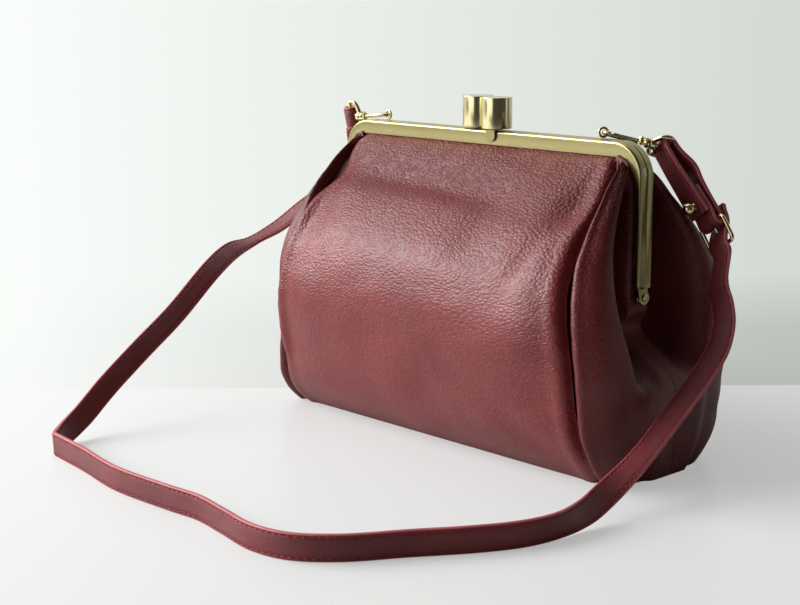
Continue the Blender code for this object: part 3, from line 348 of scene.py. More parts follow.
# The strap's lower edge, from the left hook down to the floor, along it, and up to the buckle
STRAP_EDGE_ROUTE = (
    (-0.1240, 0.0175, 0.1410), (-0.1310, 0.0250, 0.1300), (-0.1380, 0.0320, 0.1195),
    (-0.1490, 0.0280, 0.1040), (-0.1600, 0.0160, 0.0920), (-0.1670, 0.0030, 0.0820),
    (-0.1710, -0.0100, 0.0765), (-0.1680, -0.0260, 0.0710), (-0.1570, -0.0500, 0.0628),
    (-0.1465, -0.0820, 0.0445), (-0.1366, -0.1125, 0.0302), (-0.1285, -0.1380, 0.0175),
    (-0.1230, -0.1560, 0.0070), (-0.1180, -0.1710, 0.0010), (-0.1105, -0.1825, 0.0),
    (-0.1065, -0.1862, 0.0), (-0.1000, -0.1872, 0.0), (-0.0750, -0.1900, 0.0), (-0.0400, -0.1952, 0.0),
    (-0.0030, -0.1938, 0.0), (0.0180, -0.1922, 0.0), (0.0400, -0.1952, 0.0), (0.0620, -0.1982, 0.0),
    (0.0810, -0.1940, 0.0), (0.0970, -0.1800, 0.0), (0.1110, -0.1580, 0.0), (0.1250, -0.1370, 0.0),
    (0.1345, -0.1180, 0.0), (0.1385, -0.1000, 0.0004), (0.1392, -0.0820, 0.0018),
    (0.1392, -0.0670, 0.0065), (0.1390, -0.0520, 0.0140), (0.1385, -0.0380, 0.0222),
    (0.1380, -0.0242, 0.0308), (0.1382, -0.0093, 0.0415), (0.1392, 0.0010, 0.0505),
    (0.1398, 0.0103, 0.0603), (0.1383, 0.0163, 0.0718), (0.1338, 0.0204, 0.0812),
    (0.1274, 0.0249, 0.0893),
)
# The strap's width direction at places along that route: (point number, direction)
STRAP_TURNS = (
    (0, (-0.10, 0.12, 0.98)), (1, (-0.25, 0.25, 0.92)), (4, (-0.60, 0.50, 0.62)),
    (6, (-0.72, 0.60, 0.25)), (8, (-0.65, 0.05, 0.70)), (10, (-0.52, -0.25, 0.80)),
    (12, (-0.40, -0.25, 0.85)), (14, (-0.06, -0.05, 0.99)), (16, (0.0, 0.0, 1.0)),
    (28, (0.0, 0.0, 1.0)), (29, (-0.35, 0.0, 0.94)), (30, (-0.70, 0.0, 0.70)),
    (31, (-0.93, 0.0, 0.36)), (32, (-1.0, 0.0, 0.10)), (36, (-1.0, -0.10, 0.0)),
    (38, (-0.93, -0.05, -0.35)), (39, (-0.85, -0.06, -0.50)),
)

# Studio and camera
VIEW_TURN = radians(47.15)
AHEAD = Vector((-sin(VIEW_TURN), cos(VIEW_TURN), 0))
ACROSS = Vector((cos(VIEW_TURN), sin(VIEW_TURN), 0))
EYE = Vector((0.5416, -0.5616, 0.2218))
LOOK_DOWN = radians(11.44)
ROLL = radians(-0.343)
FOCAL_SHARE = 1580.3 / 800
TABLE_EDGE = 0.078
TABLE_BLUR = 0.0008
FLOOR_FRONT = 0.50
FLOOR_BACK = 0.60
FLOOR_SIDE = 1.6
SHADOW_LIFT = 0.42
LIFTED_FROM = 0.42
TABLE_ROUGHNESS = 0.32
TABLE_SHINE = 0.35
TABLE_WHITE = (0.72, 0.73, 0.725)
TABLE_GLOW = (0.92, 0.93, 0.92)
FAR_DIM = (0.70, 0.70, 0.70)
WALL_LEFT = (0.955, 0.980, 0.950)
WALL_RIGHT = (0.660, 0.700, 0.655)
WALL_SPREAD = 0.24
LEAST_AHEAD = 0.3
AMBIENT = (0.80, 0.84, 0.82, 1.0)
AMBIENT_STRENGTH = 0.07
MIRROR_FACING = (0.0, 0.35)
MIRROR_SHARE = 0.9
# Lights: name, place, what it points at, width and height, watts
LIGHTS = (
    ("window", (-0.98, -0.82, 0.78), (0, 0, 0.10), (1.3, 0.90), 37.0),
    ("left_screen", (-0.20, -1.24, 0.36), (0, 0, 0.14), (1.0, 0.70), 3.6),
    ("right_screen", (1.10, 0.69, 0.36), (0, 0, 0.14), (0.24, 0.7), 0.5),
    ("ceiling", (-0.55, 0.0, 1.4), (0, 0, 0), (1.2, 1.2), 4.5),
)

# Leather grain: its reaches are in pebbles, its heights in shares of the grain's depth
GRAIN_STRETCH = (0.72, 1.0, 1.25)
GRAIN_TURN = 0.6
GRAIN_DRIFT = 1.2
GRAIN_DRIFT_WAVES = 0.35
FINE_GRAIN = 2.7
CREASE_SLOPE = 0.34
CREASE_TONE_REACH = 0.24
CREASE_TONE_SHARE = 0.30
CREASE_HEIGHT = 0.45
DOME_HEIGHT = 0.8
FINE_HEIGHT = 0.07
# Between these heights the leather passes to its top, which is darker with painted shade, and duller and more
# creased
TOP_SHADE_FROM = 0.090
TOP_SHADE_TO = 0.124
TOP_SHADE_SHARE = 0.72
TOP_SHINE_SHARE = 0.55
LOWER_CREASE_SHARE = 0.9
TOP_CREASE_SHARE = 1.5
CREASE_DARK_SHARE = 0.5
TOP_SHADE_DARK_SHARE = 0.6
# What tarnish leaves of the brass's red, green and blue
TARNISH_SHARES = (0.93, 0.92, 0.88)


# Finishes

class Finish:
    """A Principled material and short ways to add nodes to it."""

    def __init__(self, name):
        self.material = bpy.data.materials.new(name)
        self.material.use_nodes = True
        self.tree = self.material.node_tree
        self.shader = self.tree.nodes["Principled BSDF"]
        self.place = self.node("ShaderNodeTexCoord").outputs["Object"]

    def node(self, kind, **settings):
        made = self.tree.nodes.new(kind)
        for key, value in settings.items():
            setattr(made, key, value)
        return made

    def link(self, source, target):
        self.tree.links.new(source, target)

    def put(self, made, **inputs):
        for key, value in inputs.items():
            socket = made.inputs[key.replace("_", " ")]
            if isinstance(value, bpy.types.NodeSocket):
                self.link(value, socket)
            else:
                socket.default_value = value
        return made

    def scaled(self, x, y, z, turn):
        made = self.node("ShaderNodeMapping")
        self.link(self.place, made.inputs["Vector"])
        made.inputs["Rotation"].default_value = (0.0, turn, 0.0)
        made.inputs["Scale"].default_value = (x, y, z)
        return made.outputs["Vector"]

    def patches(self, scale, detail, rough, low=0.3, high=0.7, to_low=0.0, to_high=1.0):
        """Soft patches that pass from one value to another."""
        return self.spread(self.noise(scale, detail, rough), low, high, to_low, to_high)

    def noise(self, scale, detail, rough):
        made = self.node("ShaderNodeTexNoise")
        self.link(self.place, made.inputs["Vector"])
        self.put(made, Scale=scale, Detail=detail, Roughness=rough)
        return made.outputs["Fac"]

    def cells(self, scale, feature, vector=None, **inputs):
        made = self.node("ShaderNodeTexVoronoi", feature=feature)
        self.link(vector or self.place, made.inputs["Vector"])
        self.put(made, Scale=scale, **inputs)
        return made.outputs["Distance"]

    def math(self, operation, a, b=0.0):
        made = self.node("ShaderNodeMath", operation=operation)
        for i, value in enumerate((a, b)):
            if isinstance(value, bpy.types.NodeSocket):
                self.link(value, made.inputs[i])
            else:
                made.inputs[i].default_value = value
        return made.outputs[0]

    def spread(self, value, low, high, to_low=0.0, to_high=1.0):
        made = self.node("ShaderNodeMapRange")
        self.link(value, made.inputs["Value"])
        self.put(made, From_Min=low, From_Max=high, To_Min=to_low, To_Max=to_high)
        return made.outputs["Result"]

    def blend(self, share, one, two, kind="MIX"):
        made = self.node("ShaderNodeMix", data_type="RGBA", blend_type=kind)
        for key, value in ((0, share), (6, one), (7, two)):
            if isinstance(value, bpy.types.NodeSocket):
                self.link(value, made.inputs[key])
            elif key:
                made.inputs[key].default_value = (*value, 1.0)
            else:
                made.inputs[key].default_value = value
        return made.outputs[2]

    def bump(self, height, depth):
        made = self.node("ShaderNodeBump")
        self.put(made, Height=height, Distance=depth, Strength=1.0)
        return made.outputs["Normal"]

    def done(self, colour, roughness, normal=None, **inputs):
        self.put(self.shader, Base_Color=colour, Roughness=roughness, **inputs)
        if normal is not None:
            self.link(normal, self.shader.inputs["Normal"])
        return self.material


def darker(colour, share):
    return tuple(c * share for c in colour)


def pebbles(f, cell_size):
    """The creases between the pebbles of leather, and the grain's height."""
    drift = f.node("ShaderNodeTexNoise")
    f.link(f.place, drift.inputs["Vector"])
    f.put(drift, Scale=GRAIN_DRIFT_WAVES / cell_size, Detail=2.0)
    shift = f.node("ShaderNodeVectorMath", operation="MULTIPLY_ADD")
    f.link(drift.outputs["Color"], shift.inputs[0])
    shift.inputs[1].default_value = (cell_size * GRAIN_DRIFT,) * 3
    f.link(f.scaled(*GRAIN_STRETCH, GRAIN_TURN), shift.inputs[2])
    where = shift.outputs[0]
    crease = f.cells(1 / cell_size, "DISTANCE_TO_EDGE", where)
    dome = f.cells(1 / cell_size, "SMOOTH_F1", where, Smoothness=0.3)
    fine = f.cells(FINE_GRAIN / cell_size, "DISTANCE_TO_EDGE", where)
    valley = f.math("MULTIPLY", f.spread(crease, 0.0, CREASE_SLOPE), CREASE_HEIGHT)
    crown = f.math("MULTIPLY", f.math("SUBTRACT", 1.0, dome), DOME_HEIGHT)
    pores = f.math("MULTIPLY", f.spread(fine, 0.0, 0.3), FINE_HEIGHT)
    return crease, f.math("ADD", f.math("ADD", valley, crown), pores)


def pebbled_leather(name, lit, deep, cell_size, depth, roughness, shine):
    """Full-grain leather: rounded pebbles between fine creases, with slow changes of tone and a top that is
    darker with painted shade, duller and more creased.
    """
    f = Finish(name)
    crease, height = pebbles(f, cell_size)
    colour = f.blend(f.patches(scale=22.0, detail=3.0, rough=0.55), lit, deep)
    shaded = f.spread(crease, 0.0, CREASE_TONE_REACH, CREASE_TONE_SHARE, 0.0)
    colour = f.blend(shaded, colour, darker(deep, CREASE_DARK_SHARE))
    parts = f.node("ShaderNodeSeparateXYZ")
    f.link(f.place, parts.inputs[0])
    # Painted shade: the colour darkens towards the leather's top; there the leather is also duller and more
    # creased.
    shaded_top = f.spread(parts.outputs[2], TOP_SHADE_FROM, TOP_SHADE_TO)
    colour = f.blend(f.math("MULTIPLY", shaded_top, TOP_SHADE_SHARE), colour, darker(deep, TOP_SHADE_DARK_SHARE))
    polish = f.patches(scale=60.0, detail=4.0, rough=0.6, to_low=roughness - 0.04, to_high=roughness + 0.05)
    shine_by_height = f.spread(shaded_top, 0.0, 1.0, shine, shine * TOP_SHINE_SHARE)
    gathered = f.spread(shaded_top, 0.0, 1.0, LOWER_CREASE_SHARE, TOP_CREASE_SHARE)
    grain = f.bump(f.math("MULTIPLY", height, gathered), depth)
    return f.done(colour, polish, grain, Specular_IOR_Level=shine_by_height)


def smooth_leather(name, lit, deep, roughness):
    """Split leather for straps: fine pores in a faintly uneven face."""
    f = Finish(name)
    pores = f.math("MULTIPLY", f.spread(f.cells(1500.0, "DISTANCE_TO_EDGE"), 0.0, 0.25), 0.5)
    uneven = f.math("MULTIPLY", f.noise(scale=420.0, detail=4.0, rough=0.6), 0.8)
    height = f.math("ADD", pores, uneven)
    colour = f.blend(f.patches(scale=35.0, detail=4.0, rough=0.6, low=0.32, high=0.68), lit, deep)
    polish = f.patches(scale=120.0, detail=3.0, rough=0.5, to_low=roughness - 0.05, to_high=roughness + 0.08)
    return f.done(colour, polish, f.bump(height, 0.00012), Specular_IOR_Level=0.48)


def brass(name, tint, roughness):
    """Brass with faint tarnish."""
    f = Finish(name)
    tarnish = f.patches(scale=45.0, detail=3.0, rough=0.5, low=0.35, high=0.75)
    aged = tuple(c * share for c, share in zip(tint, TARNISH_SHARES))
    polish = f.patches(scale=160.0, detail=2.0, rough=0.5, to_low=roughness - 0.01, to_high=roughness + 0.01)
    return f.done(f.blend(tarnish, tint, aged), polish, Metallic=1.0)


def weave(name, colour, pitch):
    """Plain-woven lining cloth."""
    f = Finish(name)
    parts = f.node("ShaderNodeSeparateXYZ")
    f.link(f.place, parts.inputs[0])
    along = f.math("ADD", parts.outputs[0], parts.outputs[1])
    warp = f.math("SINE", f.math("MULTIPLY", along, 2 * pi / pitch))
    weft = f.math("SINE", f.math("MULTIPLY", parts.outputs[2], 2 * pi / pitch))
    height = f.math("MULTIPLY", warp, weft)
    shade = f.blend(f.spread(height, -1.0, 1.0), darker(colour, 0.7), colour)
    return f.done(shade, 0.8, f.bump(height, 0.00008), Sheen_Weight=0.2)


def plain(name, one, two, scale, roughness):
    """A dull finish with a mottled tone: board, paper cord, thread, edge paint and the leather's flesh side."""
    f = Finish(name)
    mottle = f.noise(scale, detail=4.0, rough=0.6)
    return f.done(f.blend(f.spread(mottle, 0.3, 0.7), one, two), roughness, f.bump(mottle, 0.0001))


BODY_LEATHER = pebbled_leather(
    "pebbled_oxblood_leather", lit=(0.208, 0.019, 0.018), deep=(0.152, 0.010, 0.010),
    cell_size=0.0017, depth=0.00023, roughness=0.42, shine=0.52)
# The gussets' leather: a shallower grain, and a darker tone that is painted shade for the sides turned from the
# window.
SHADED_GUSSET_LEATHER = pebbled_leather(
    "soft_shaded_gusset_leather", lit=(0.150, 0.011, 0.011), deep=(0.098, 0.006, 0.006),
    cell_size=0.0018, depth=0.00018, roughness=0.46, shine=0.50)
STRAP_LEATHER = smooth_leather("strap_leather", (0.168, 0.014, 0.018), (0.112, 0.009, 0.011), 0.42)
EDGE_PAINT = plain("strap_edge_paint", (0.46, 0.11, 0.12), (0.36, 0.075, 0.085), 220.0, 0.5)
FLESH = plain("flesh_side", (0.22, 0.10, 0.08), (0.16, 0.07, 0.06), 400.0, 0.9)
THREAD = plain("red_thread", (0.30, 0.006, 0.016), (0.20, 0.004, 0.010), 3000.0, 0.7)
FRAME_BRASS = brass("satin_frame_brass", (0.350, 0.303, 0.143), 0.29)
KNOB_BRASS = brass("polished_knob_brass", (0.72, 0.62, 0.36), 0.20)
FITTING_BRASS = brass("polished_fitting_brass", (0.68, 0.59, 0.33), 0.20)
LINING_CLOTH = weave("lining_weave", (0.13, 0.03, 0.035), 0.0007)
BOARD = plain("grey_base_board", (0.36, 0.34, 0.31), (0.27, 0.25, 0.22), 700.0, 0.95)
PAPER = plain("paper_cord", (0.62, 0.55, 0.42), (0.50, 0.43, 0.32), 1500.0, 0.9)


# Mesh making

def piece(name, bm, materials, smooth_angle=pi / 5):
    """A closed mesh as an object, its faces outwards."""
    bmesh.ops.recalc_face_normals(bm, faces=bm.faces)
    mesh = bpy.data.meshes.new(name)
    bm.to_mesh(mesh)
    bm.free()
    made = bpy.data.objects.new(name, mesh)
    bpy.context.scene.collection.objects.link(made)
    for material in materials:
        mesh.materials.append(material)
    mesh.shade_smooth()
    if smooth_angle:
        mesh.set_sharp_from_angle(angle=smooth_angle)
    return made


def brass_piece(name, bm, finish, body, node):
    """A brass piece that moves with a body and stands for a node."""
    made = piece(name, bm, [finish])
    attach(made, body)
    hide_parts(node)
    return made


def add_rings(bm, rings, closed=False, material=None):
    """Joins equal rings into a closed skin. material gives the slot of the faces at a place in the rings."""
    made = [[bm.verts.new(p) for p in ring] for ring in rings]
    pairs = list(zip(made, made[1:]))
    if closed:
        pairs.append((made[-1], made[0]))
    count = len(made[0])
    for one, two in pairs:
        for i in range(count):
            j = (i + 1) % count
            face = bm.faces.new((one[i], one[j], two[j], two[i]))
            if material is not None:
                face.material_index = material(i)
    if not closed:
        bm.faces.new(made[0][::-1])
        bm.faces.new(made[-1])


def add_turned(bm, profile, place, steps):
    """A turned form: (radius, height) points from the top of its axis to the bottom."""
    turns = [2 * pi * i / steps for i in range(steps)]
    rings = []
    for radius, height in profile:
        if radius == 0:
            rings.append([bm.verts.new(place @ Vector((0, 0, height)))])
        else:
            ring = [Vector((radius * cos(t), radius * sin(t), height)) for t in turns]
            rings.append([bm.verts.new(place @ p) for p in ring])
    for above, below in zip(rings, rings[1:]):
        for i in range(steps):
            j = (i + 1) % steps
            upper = above[i % len(above)], above[j % len(above)]
            lower = below[i % len(below)], below[j % len(below)]
            corners = [upper[0], lower[0], lower[1], upper[1]]
            bm.faces.new(list(dict.fromkeys(corners)))


def add_collar(bm, section, place, steps):
    """A turned form with a hole through it: (radius, height) points round its section."""
    turns = [2 * pi * i / steps for i in range(steps)]
    rings = [[place @ Vector((r * cos(t), r * sin(t), z)) for r, z in section] for t in turns]
    add_rings(bm, rings, closed=True)


def curve_point(before, start, end, after, t):
    """A point of a smooth curve between two of its points."""
    return 0.5 * (
        2 * start + (end - before) * t + (2 * before - 5 * start + 4 * end - after) * t**2
        + (3 * start - before - 3 * end + after) * t**3
    )


def smooth_path(points, per_span):
    """A smooth open path through points, with so many steps between each two."""
    points = [Vector(p) for p in points]
    ends = [points[0] * 2 - points[1]] + points + [points[-1] * 2 - points[-2]]
    made = []
    for near in zip(ends, ends[1:], ends[2:], ends[3:]):
        made += [curve_point(*near, i / per_span) for i in range(per_span)]
    return made + [points[-1]]


def smooth_loop(points, per_span):
    """A smooth closed path through points."""
    count = len(points)
    made = []
    for i in range(count):
        near = [points[(i + k) % count] for k in (-1, 0, 1, 2)]
        made += [curve_point(*near, k / per_span) for k in range(per_span)]
    return made


def add_wire(bm, path, radii, sides, closed=False):
    """A round wire along a path, its radius changing from point to point. A closed one is turned little by
    little, so that its last ring meets its first."""
    count = len(path)
    if not hasattr(radii, "__len__"):
        radii = [radii] * count
    alongs = []
    for i in range(count):
        before = path[i - 1] if closed or i else path[0]
        after = path[(i + 1) % count] if closed or i < count - 1 else path[-1]
        alongs.append((after - before).normalized())
    side = alongs[0].orthogonal().normalized()
    turns = [2 * pi * k / sides for k in range(sides)]
    rings = []
    for point, along, radius in zip(path, alongs, radii):
        side = (side - along * side.dot(along)).normalized()
        up = along.cross(side)
        rings.append([point + side * radius * cos(t) + up * radius * sin(t) for t in turns])
    if closed:
        nearest = min(range(sides), key=lambda k: (rings[0][0] - rings[-1][k]).length)
        drift = 2 * pi * nearest / sides
        for i, (middle, along) in enumerate(zip(path, alongs)):
            turn = Matrix.Rotation(drift * i / (count - 1), 3, along)
            rings[i] = [middle + turn @ (p - middle) for p in rings[i]]
    add_rings(bm, rings, closed)


def axes(origin, along, across):
    """A place whose x runs along one direction and whose y leans towards another."""
    x = Vector(along).normalized()
    y = Vector(across)
    y = (y - x * y.dot(x)).normalized()
    z = x.cross(y)
    return Matrix.Translation(origin) @ Matrix((x, y, z)).transposed().to_4x4()


def turned_to(origin, axis, across):
    """A place whose z runs along an axis and whose x leans towards another direction."""
    z = Vector(axis).normalized()
    x = Vector(across)
    x = (x - z * x.dot(z)).normalized()
    y = z.cross(x)
    return Matrix.Translation(origin) @ Matrix((x, y, z)).transposed().to_4x4()


# Leather body

def fade(x, low, high):
    """A smooth step from 0 at the low value to 1 at the high one."""
    t = min(max((x - low) / (high - low), 0.0), 1.0)
    return t * t * (3 - 2 * t)


def bell(x, place, reach):
    return np.exp(-(((x - place) / reach) ** 2))


def profile_at(height):
    """The body's driving sizes at a height, on a smooth curve through the rows of its profile."""
    rows = PROFILE_SHARES
    share = min(max(height / FRAME_TOP, rows[0][0]), rows[-1][0])
    i = next(k for k in range(len(rows) - 1) if share <= rows[k + 1][0])
    low, high = rows[i], rows[i + 1]
    before = rows[max(i - 1, 0)]
    after = rows[min(i + 2, len(rows) - 1)]
    span = high[0] - low[0]
    t = (share - low[0]) / span
    values = []
    for k in range(1, len(low)):
        slope_low = (high[k] - before[k]) / (high[0] - before[0])
        slope_high = (after[k] - low[k]) / (after[0] - low[0])
        values.append(
            (2 * t**3 - 3 * t**2 + 1) * low[k]
            + (t**3 - 2 * t**2 + t) * span * slope_low
            + (3 * t**2 - 2 * t**3) * high[k]
            + (t**3 - t**2) * span * slope_high
        )
    depth, width, crest_depth, crest_reach, middle_reach = values
    return [
        depth * BODY_HALF_DEPTH,
        width * BODY_HALF_WIDTH,
        crest_depth * BODY_HALF_DEPTH,
        crest_reach * GUSSET_REACH,
        middle_reach * GUSSET_REACH,
    ]


def lip_profile(height):
    """The driving sizes with the turn into the channel above the top row."""
    depth, width, crest_depth, crest_reach, middle_reach = profile_at(height)
    tucked = MID_GAP + HALF_DEPTH - SHEET - GAP
    if height > TOP_ROW:
        t = min((height - TOP_ROW) / (LIP_Z - GAP - TOP_ROW), 1)
        depth = depth + (tucked - depth) * (1 - cos(pi / 2 * t)) if t < 1 else tucked
        width = width + (BODY_HALF_WIDTH * LIP_WIDTH_SHARE - width) * t
        crest_depth = min(crest_depth, (depth + MOUTH_HALF) / 2)
    return depth, width, crest_depth, crest_reach, middle_reach


def panel_point(u, side, height):
    """u runs from -1 at the left seam to 1 at the right seam."""
    depth, width = lip_profile(height)[:2]
    rise = sin(pi * min(max(height / LIP_Z, 0), 1)) ** CROWN_RISE_POWER
    crown = PANEL_CROWN * rise * (1 - abs(u) ** CROWN_EDGE_POWER)
    return Vector((u * width, side * (depth + crown), height))


def arm_limit(height):
    """How far out the leather may reach at a height, inside the frame's arm and its rounded corner."""
    centre_z = BAR_Z - INNER_CORNER
    inner = FRAME_WIDTH / 2 - ARM_FACE
    rise = min(max(height - centre_z, 0), INNER_CORNER)
    return inner - INNER_CORNER + sqrt(INNER_CORNER**2 - rise**2) - GAP * 2


def gusset_point(v, side_x, side_y, height):
    """v runs from 0 at the seam over the ridge at RIDGE_SHARE, to the hollow's middle at 1."""
    depth, width, crest_depth, crest_reach, middle_reach = lip_profile(height)
    sunk = HOLLOW_SINK * fade(height, *SINK_STARTS) * (1 - fade(height, *SINK_ENDS))
    held = HELD_SHARE + (1 - HELD_SHARE) * fade(height, *HELD_FROM)
    if v <= RIDGE_SHARE:
        turn = pi / 2 * v / RIDGE_SHARE
        x = width + (crest_reach - width) * sin(turn)
        y = depth - (depth - crest_depth) * (1 - cos(turn))
    elif v < HOLLOW_SHARE:
        s = (v - RIDGE_SHARE) / (HOLLOW_SHARE - RIDGE_SHARE)
        fall = min(s / HOLLOW_WALL_SHARE, 1)
        x = middle_reach + (crest_reach - middle_reach) * (0.5 + 0.5 * cos(pi * fall))
        x -= sunk * fade(s, *SINK_WALL_SHARES) * (1 - fade(s, *SINK_MIDDLE_SHARES) * held)
        y = crest_depth + (ARM_CLEAR - crest_depth) * s
    else:
        s = (v - HOLLOW_SHARE) / (1 - HOLLOW_SHARE)
        low = MOUTH_HALF if height > SPLIT_Z else 0
        x = middle_reach - sunk * (1 - held)
        y = ARM_CLEAR + (low - ARM_CLEAR) * s
    if height > SPLIT_Z:
        x = min(x, arm_limit(height) + max(y - ARM_CLEAR - GAP, 0) * CORNER_SPREAD)
    return Vector((side_x * x, side_y * y, height))


def grid_normals(points, outward):
    """Unit normals of a grid of points, on the side that faces outward at each."""
    rows = np.gradient(points, axis=0)
    columns = np.gradient(points, axis=1)
    normals = np.cross(columns, rows)
    normals /= np.linalg.norm(normals, axis=2, keepdims=True) + 1e-12
    flip = np.sign((normals * outward).sum(axis=2, keepdims=True).mean())
    return normals * flip


def sheet_piece(name, points, outward, outer, inner, materials):
    """A closed wall between two depths under a grid of points."""
    normals = grid_normals(points, outward)
    skins = [points - normals * outer, points - normals * inner]
    bm = bmesh.new()
    made = [[[bm.verts.new(p) for p in row] for row in skin] for skin in skins]
    rows, count = points.shape[:2]
    for k, skin in enumerate(made):
        for i in range(rows - 1):
            for j in range(count - 1):
                face = bm.faces.new((skin[i][j], skin[i][j + 1], skin[i + 1][j + 1], skin[i + 1][j]))
                face.material_index = min(k, len(materials) - 1)
    one, two = made
    for i in (0, rows - 1):
        for j in range(count - 1):
            bm.faces.new((one[i][j], one[i][j + 1], two[i][j + 1], two[i][j]))
    for j in (0, count - 1):
        for i in range(rows - 1):
            bm.faces.new((one[i][j], one[i + 1][j], two[i + 1][j], two[i][j]))
    return piece(name, bm, materials, pi / 3)


def heights_between(low, high, step):
    count = max(int(round((high - low) / step)), 2)
    return [low + (high - low) * i / count for i in range(count + 1)]


def wrinkle(kind, across, up, seed):
    height, waves_across, waves_up, cut = kind
    return height * noise.noise(Vector((across * waves_across, up * waves_up, cut)) + seed)


def sewn_in(z):
    """How firmly a seam draws the leather in, less so near the floor."""
    return BASE_SEWN_SHARE + (1 - BASE_SEWN_SHARE) * fade(z, 0.0, BASE_RISE)


def panel_swell(side, x, z):
    """The soft dents and swells of a panel at a place on it. Those of the back lean the other way."""
    total = 0
    for x0, z0, reach_x, reach_z, tilt, height in PANEL_SWELLS:
        dx, dz = (x - x0) * -side, z - z0
        along = dx * cos(tilt) + dz * sin(tilt)
        up = -dx * sin(tilt) + dz * cos(tilt)
        total += height * np.exp(-((along / reach_x) ** 2) - (up / reach_z) ** 2)
    return total


def panel_relief(u, side, point):
    """How far the leather stands off its plain shape: sewn-in edges, puckers, gathers and soft swells."""
    width = abs(point.x / u) if abs(u) > 1e-6 else BODY_HALF_WIDTH
    edge = (1 - abs(u)) * width
    z = point.z
    seed = Vector((PANEL_SEEDS[side], 0, 0))
    puffed = fade(z, *PUFF_STARTS) * (1 - fade(z, *PUFF_ENDS)) if u < 0 and side < 0 else 0
    relief = PUFF * puffed * bell(edge, PUFF_PLACE, PUFF_REACH)
    relief -= PANEL_SEAM_SINK * sewn_in(z) * (1 - PUFF_SEAM_SHARE * puffed) * bell(edge, 0, PANEL_SEAM_REACH)
    relief += PANEL_ROLL * bell(edge, PANEL_ROLL_PLACE, PANEL_ROLL_REACH)
    pucker = wrinkle(PANEL_PUCKER, edge, z, seed)
    relief += pucker * np.exp(-edge / PANEL_PUCKER_REACH) * fade(z, *PUCKER_RISE)
    gather = wrinkle(PANEL_GATHER, point.x, z, seed)
    spread = GATHER_MIDDLE_SHARE + (1 - GATHER_MIDDLE_SHARE) * fade(abs(u), *GATHER_SIDE_SHARES)
    relief += gather * np.exp(-(LIP_Z - z) / GATHER_REACH) * spread
    waves = wrinkle(PANEL_WAVE, point.x, z, seed) + wrinkle(PANEL_RIPPLE, point.x, z, seed)
    relief += waves * fade(z, *WAVE_RISE) * fade(LIP_Z - z, *WAVE_LIP_CALM) * fade(edge, *WAVE_EDGE_CALM)
    relief += panel_swell(side, point.x, z)
    return relief * fade(LIP_Z - z, *PANEL_LIP_CALM)


def panel_grid(side, low, high, step):
    """A panel as a grid of points, closer together near its seams."""
    heights = heights_between(low, high, step)
    count = int(2 * BODY_HALF_WIDTH / step)
    shares = [-1 + 2 * j / count for j in range(count + 1)]
    shares = [u + 0.5 * sin(pi * u) / pi for u in shares]
    flat = [[panel_point(u, side, z) for u in shares] for z in heights]
    points = np.array([[tuple(p) for p in row] for row in flat])
    normals = grid_normals(points, np.array((0.0, side, 0.0)))
    relief = np.array([[panel_relief(u, side, p) for u, p in zip(shares, row)] for row in flat])
    return points + normals * relief[:, :, None]


def gusset_relief(v, side_x, side_y, point):
    """How far a gusset's leather stands off its plain shape: sewn-in edge, puckers and long folds."""
    z = point.z
    reach = v / RIDGE_SHARE * GUSSET_RIDGE_REACH
    relief = GUSSET_ROLL * bell(reach, GUSSET_ROLL_PLACE, GUSSET_ROLL_REACH)
    relief -= GUSSET_SEAM_SINK * sewn_in(z) * bell(reach, 0, GUSSET_SEAM_REACH)
    if side_x < 0 and side_y < 0:
        pressed = fade(z, *PUFF_STARTS) * (1 - fade(z, *PRESS_ENDS))
        relief -= PRESS * pressed * bell(reach, PRESS_PLACE, PRESS_REACH)
    seed = Vector((side_x * GUSSET_SEEDS[0], side_y * GUSSET_SEEDS[1], 0))
    pucker = wrinkle(GUSSET_PUCKER, reach, z, seed)
    relief += pucker * np.exp(-reach / GUSSET_PUCKER_REACH) * fade(z, *PUCKER_RISE)
    fold = wrinkle(GUSSET_FOLD, point.y, z, seed)
    loose = 1 - FOLD_CALM_SHARE * fade(z, *FOLD_CALM)
    relief += fold * fade(v, *FOLD_START_SHARES) * fade(z, *FOLD_RISE) * loose
    wave = wrinkle(GUSSET_WAVE, point.y, z, seed)
    relief += wave * fade(z, *GUSSET_WAVE_RISE) * fade(v, *GUSSET_WAVE_START_SHARES)
    calm = 1 - fade(v, HOLLOW_CALM_SHARE, HOLLOW_SHARE) if z > SPLIT_Z - HOLLOW_CALM_DROP else 1
    return relief * calm * fade(LIP_Z - z, *GUSSET_LIP_CALM)


def gusset_grid(side_x, lobes, low, high):
    """A gusset as a grid of points, from its front seam to its back one, or one of its two lobes alone."""
    heights = heights_between(low, high, GUSSET_STEP)
    shares = [j / GUSSET_COLUMNS for j in range(GUSSET_COLUMNS + 1)]
    columns = []
    if -1 in lobes:
        columns += [(v, -1) for v in shares]
    if 1 in lobes:
        columns += [(v, 1) for v in reversed(shares)][1 if len(lobes) > 1 else 0:]
    flat = [[gusset_point(v, side_x, s, z) for v, s in columns] for z in heights]
    points = np.array([[tuple(p) for p in row] for row in flat])
    normals = grid_normals(points, np.array((float(side_x), 0.0, 0.0)))
    relief = np.array([[gusset_relief(v, side_x, s, p) for (v, s), p in zip(columns, row)] for row in flat])
    return points + normals * relief[:, :, None]


def follow_frame(made):
    """A leather piece that the front half of the frame holds and that is sewn to the bag below its hinge: here
    only its place is baked into its mesh, and it is attached to nothing.
    """
    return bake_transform(made)


def held_by(made, body, slot, *nodes):
    """A soft piece stands for nodes and moves with the bag; a piece of the front half has its place baked in
    and is attached to nothing.
    """
    if body == "front_half":
        follow_frame(made)
    else:
        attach(made, body)
    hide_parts(*nodes)


def leather_sheet(name, grid, out, finish):
    return sheet_piece(name, grid, np.array(out), 0, LEATHER, [finish, FLESH])


def lining_sheet(name, grid, out):
    start = LEATHER + GAP
    return sheet_piece(name, grid, np.array(out), start, start + LINING, [LINING_CLOTH])


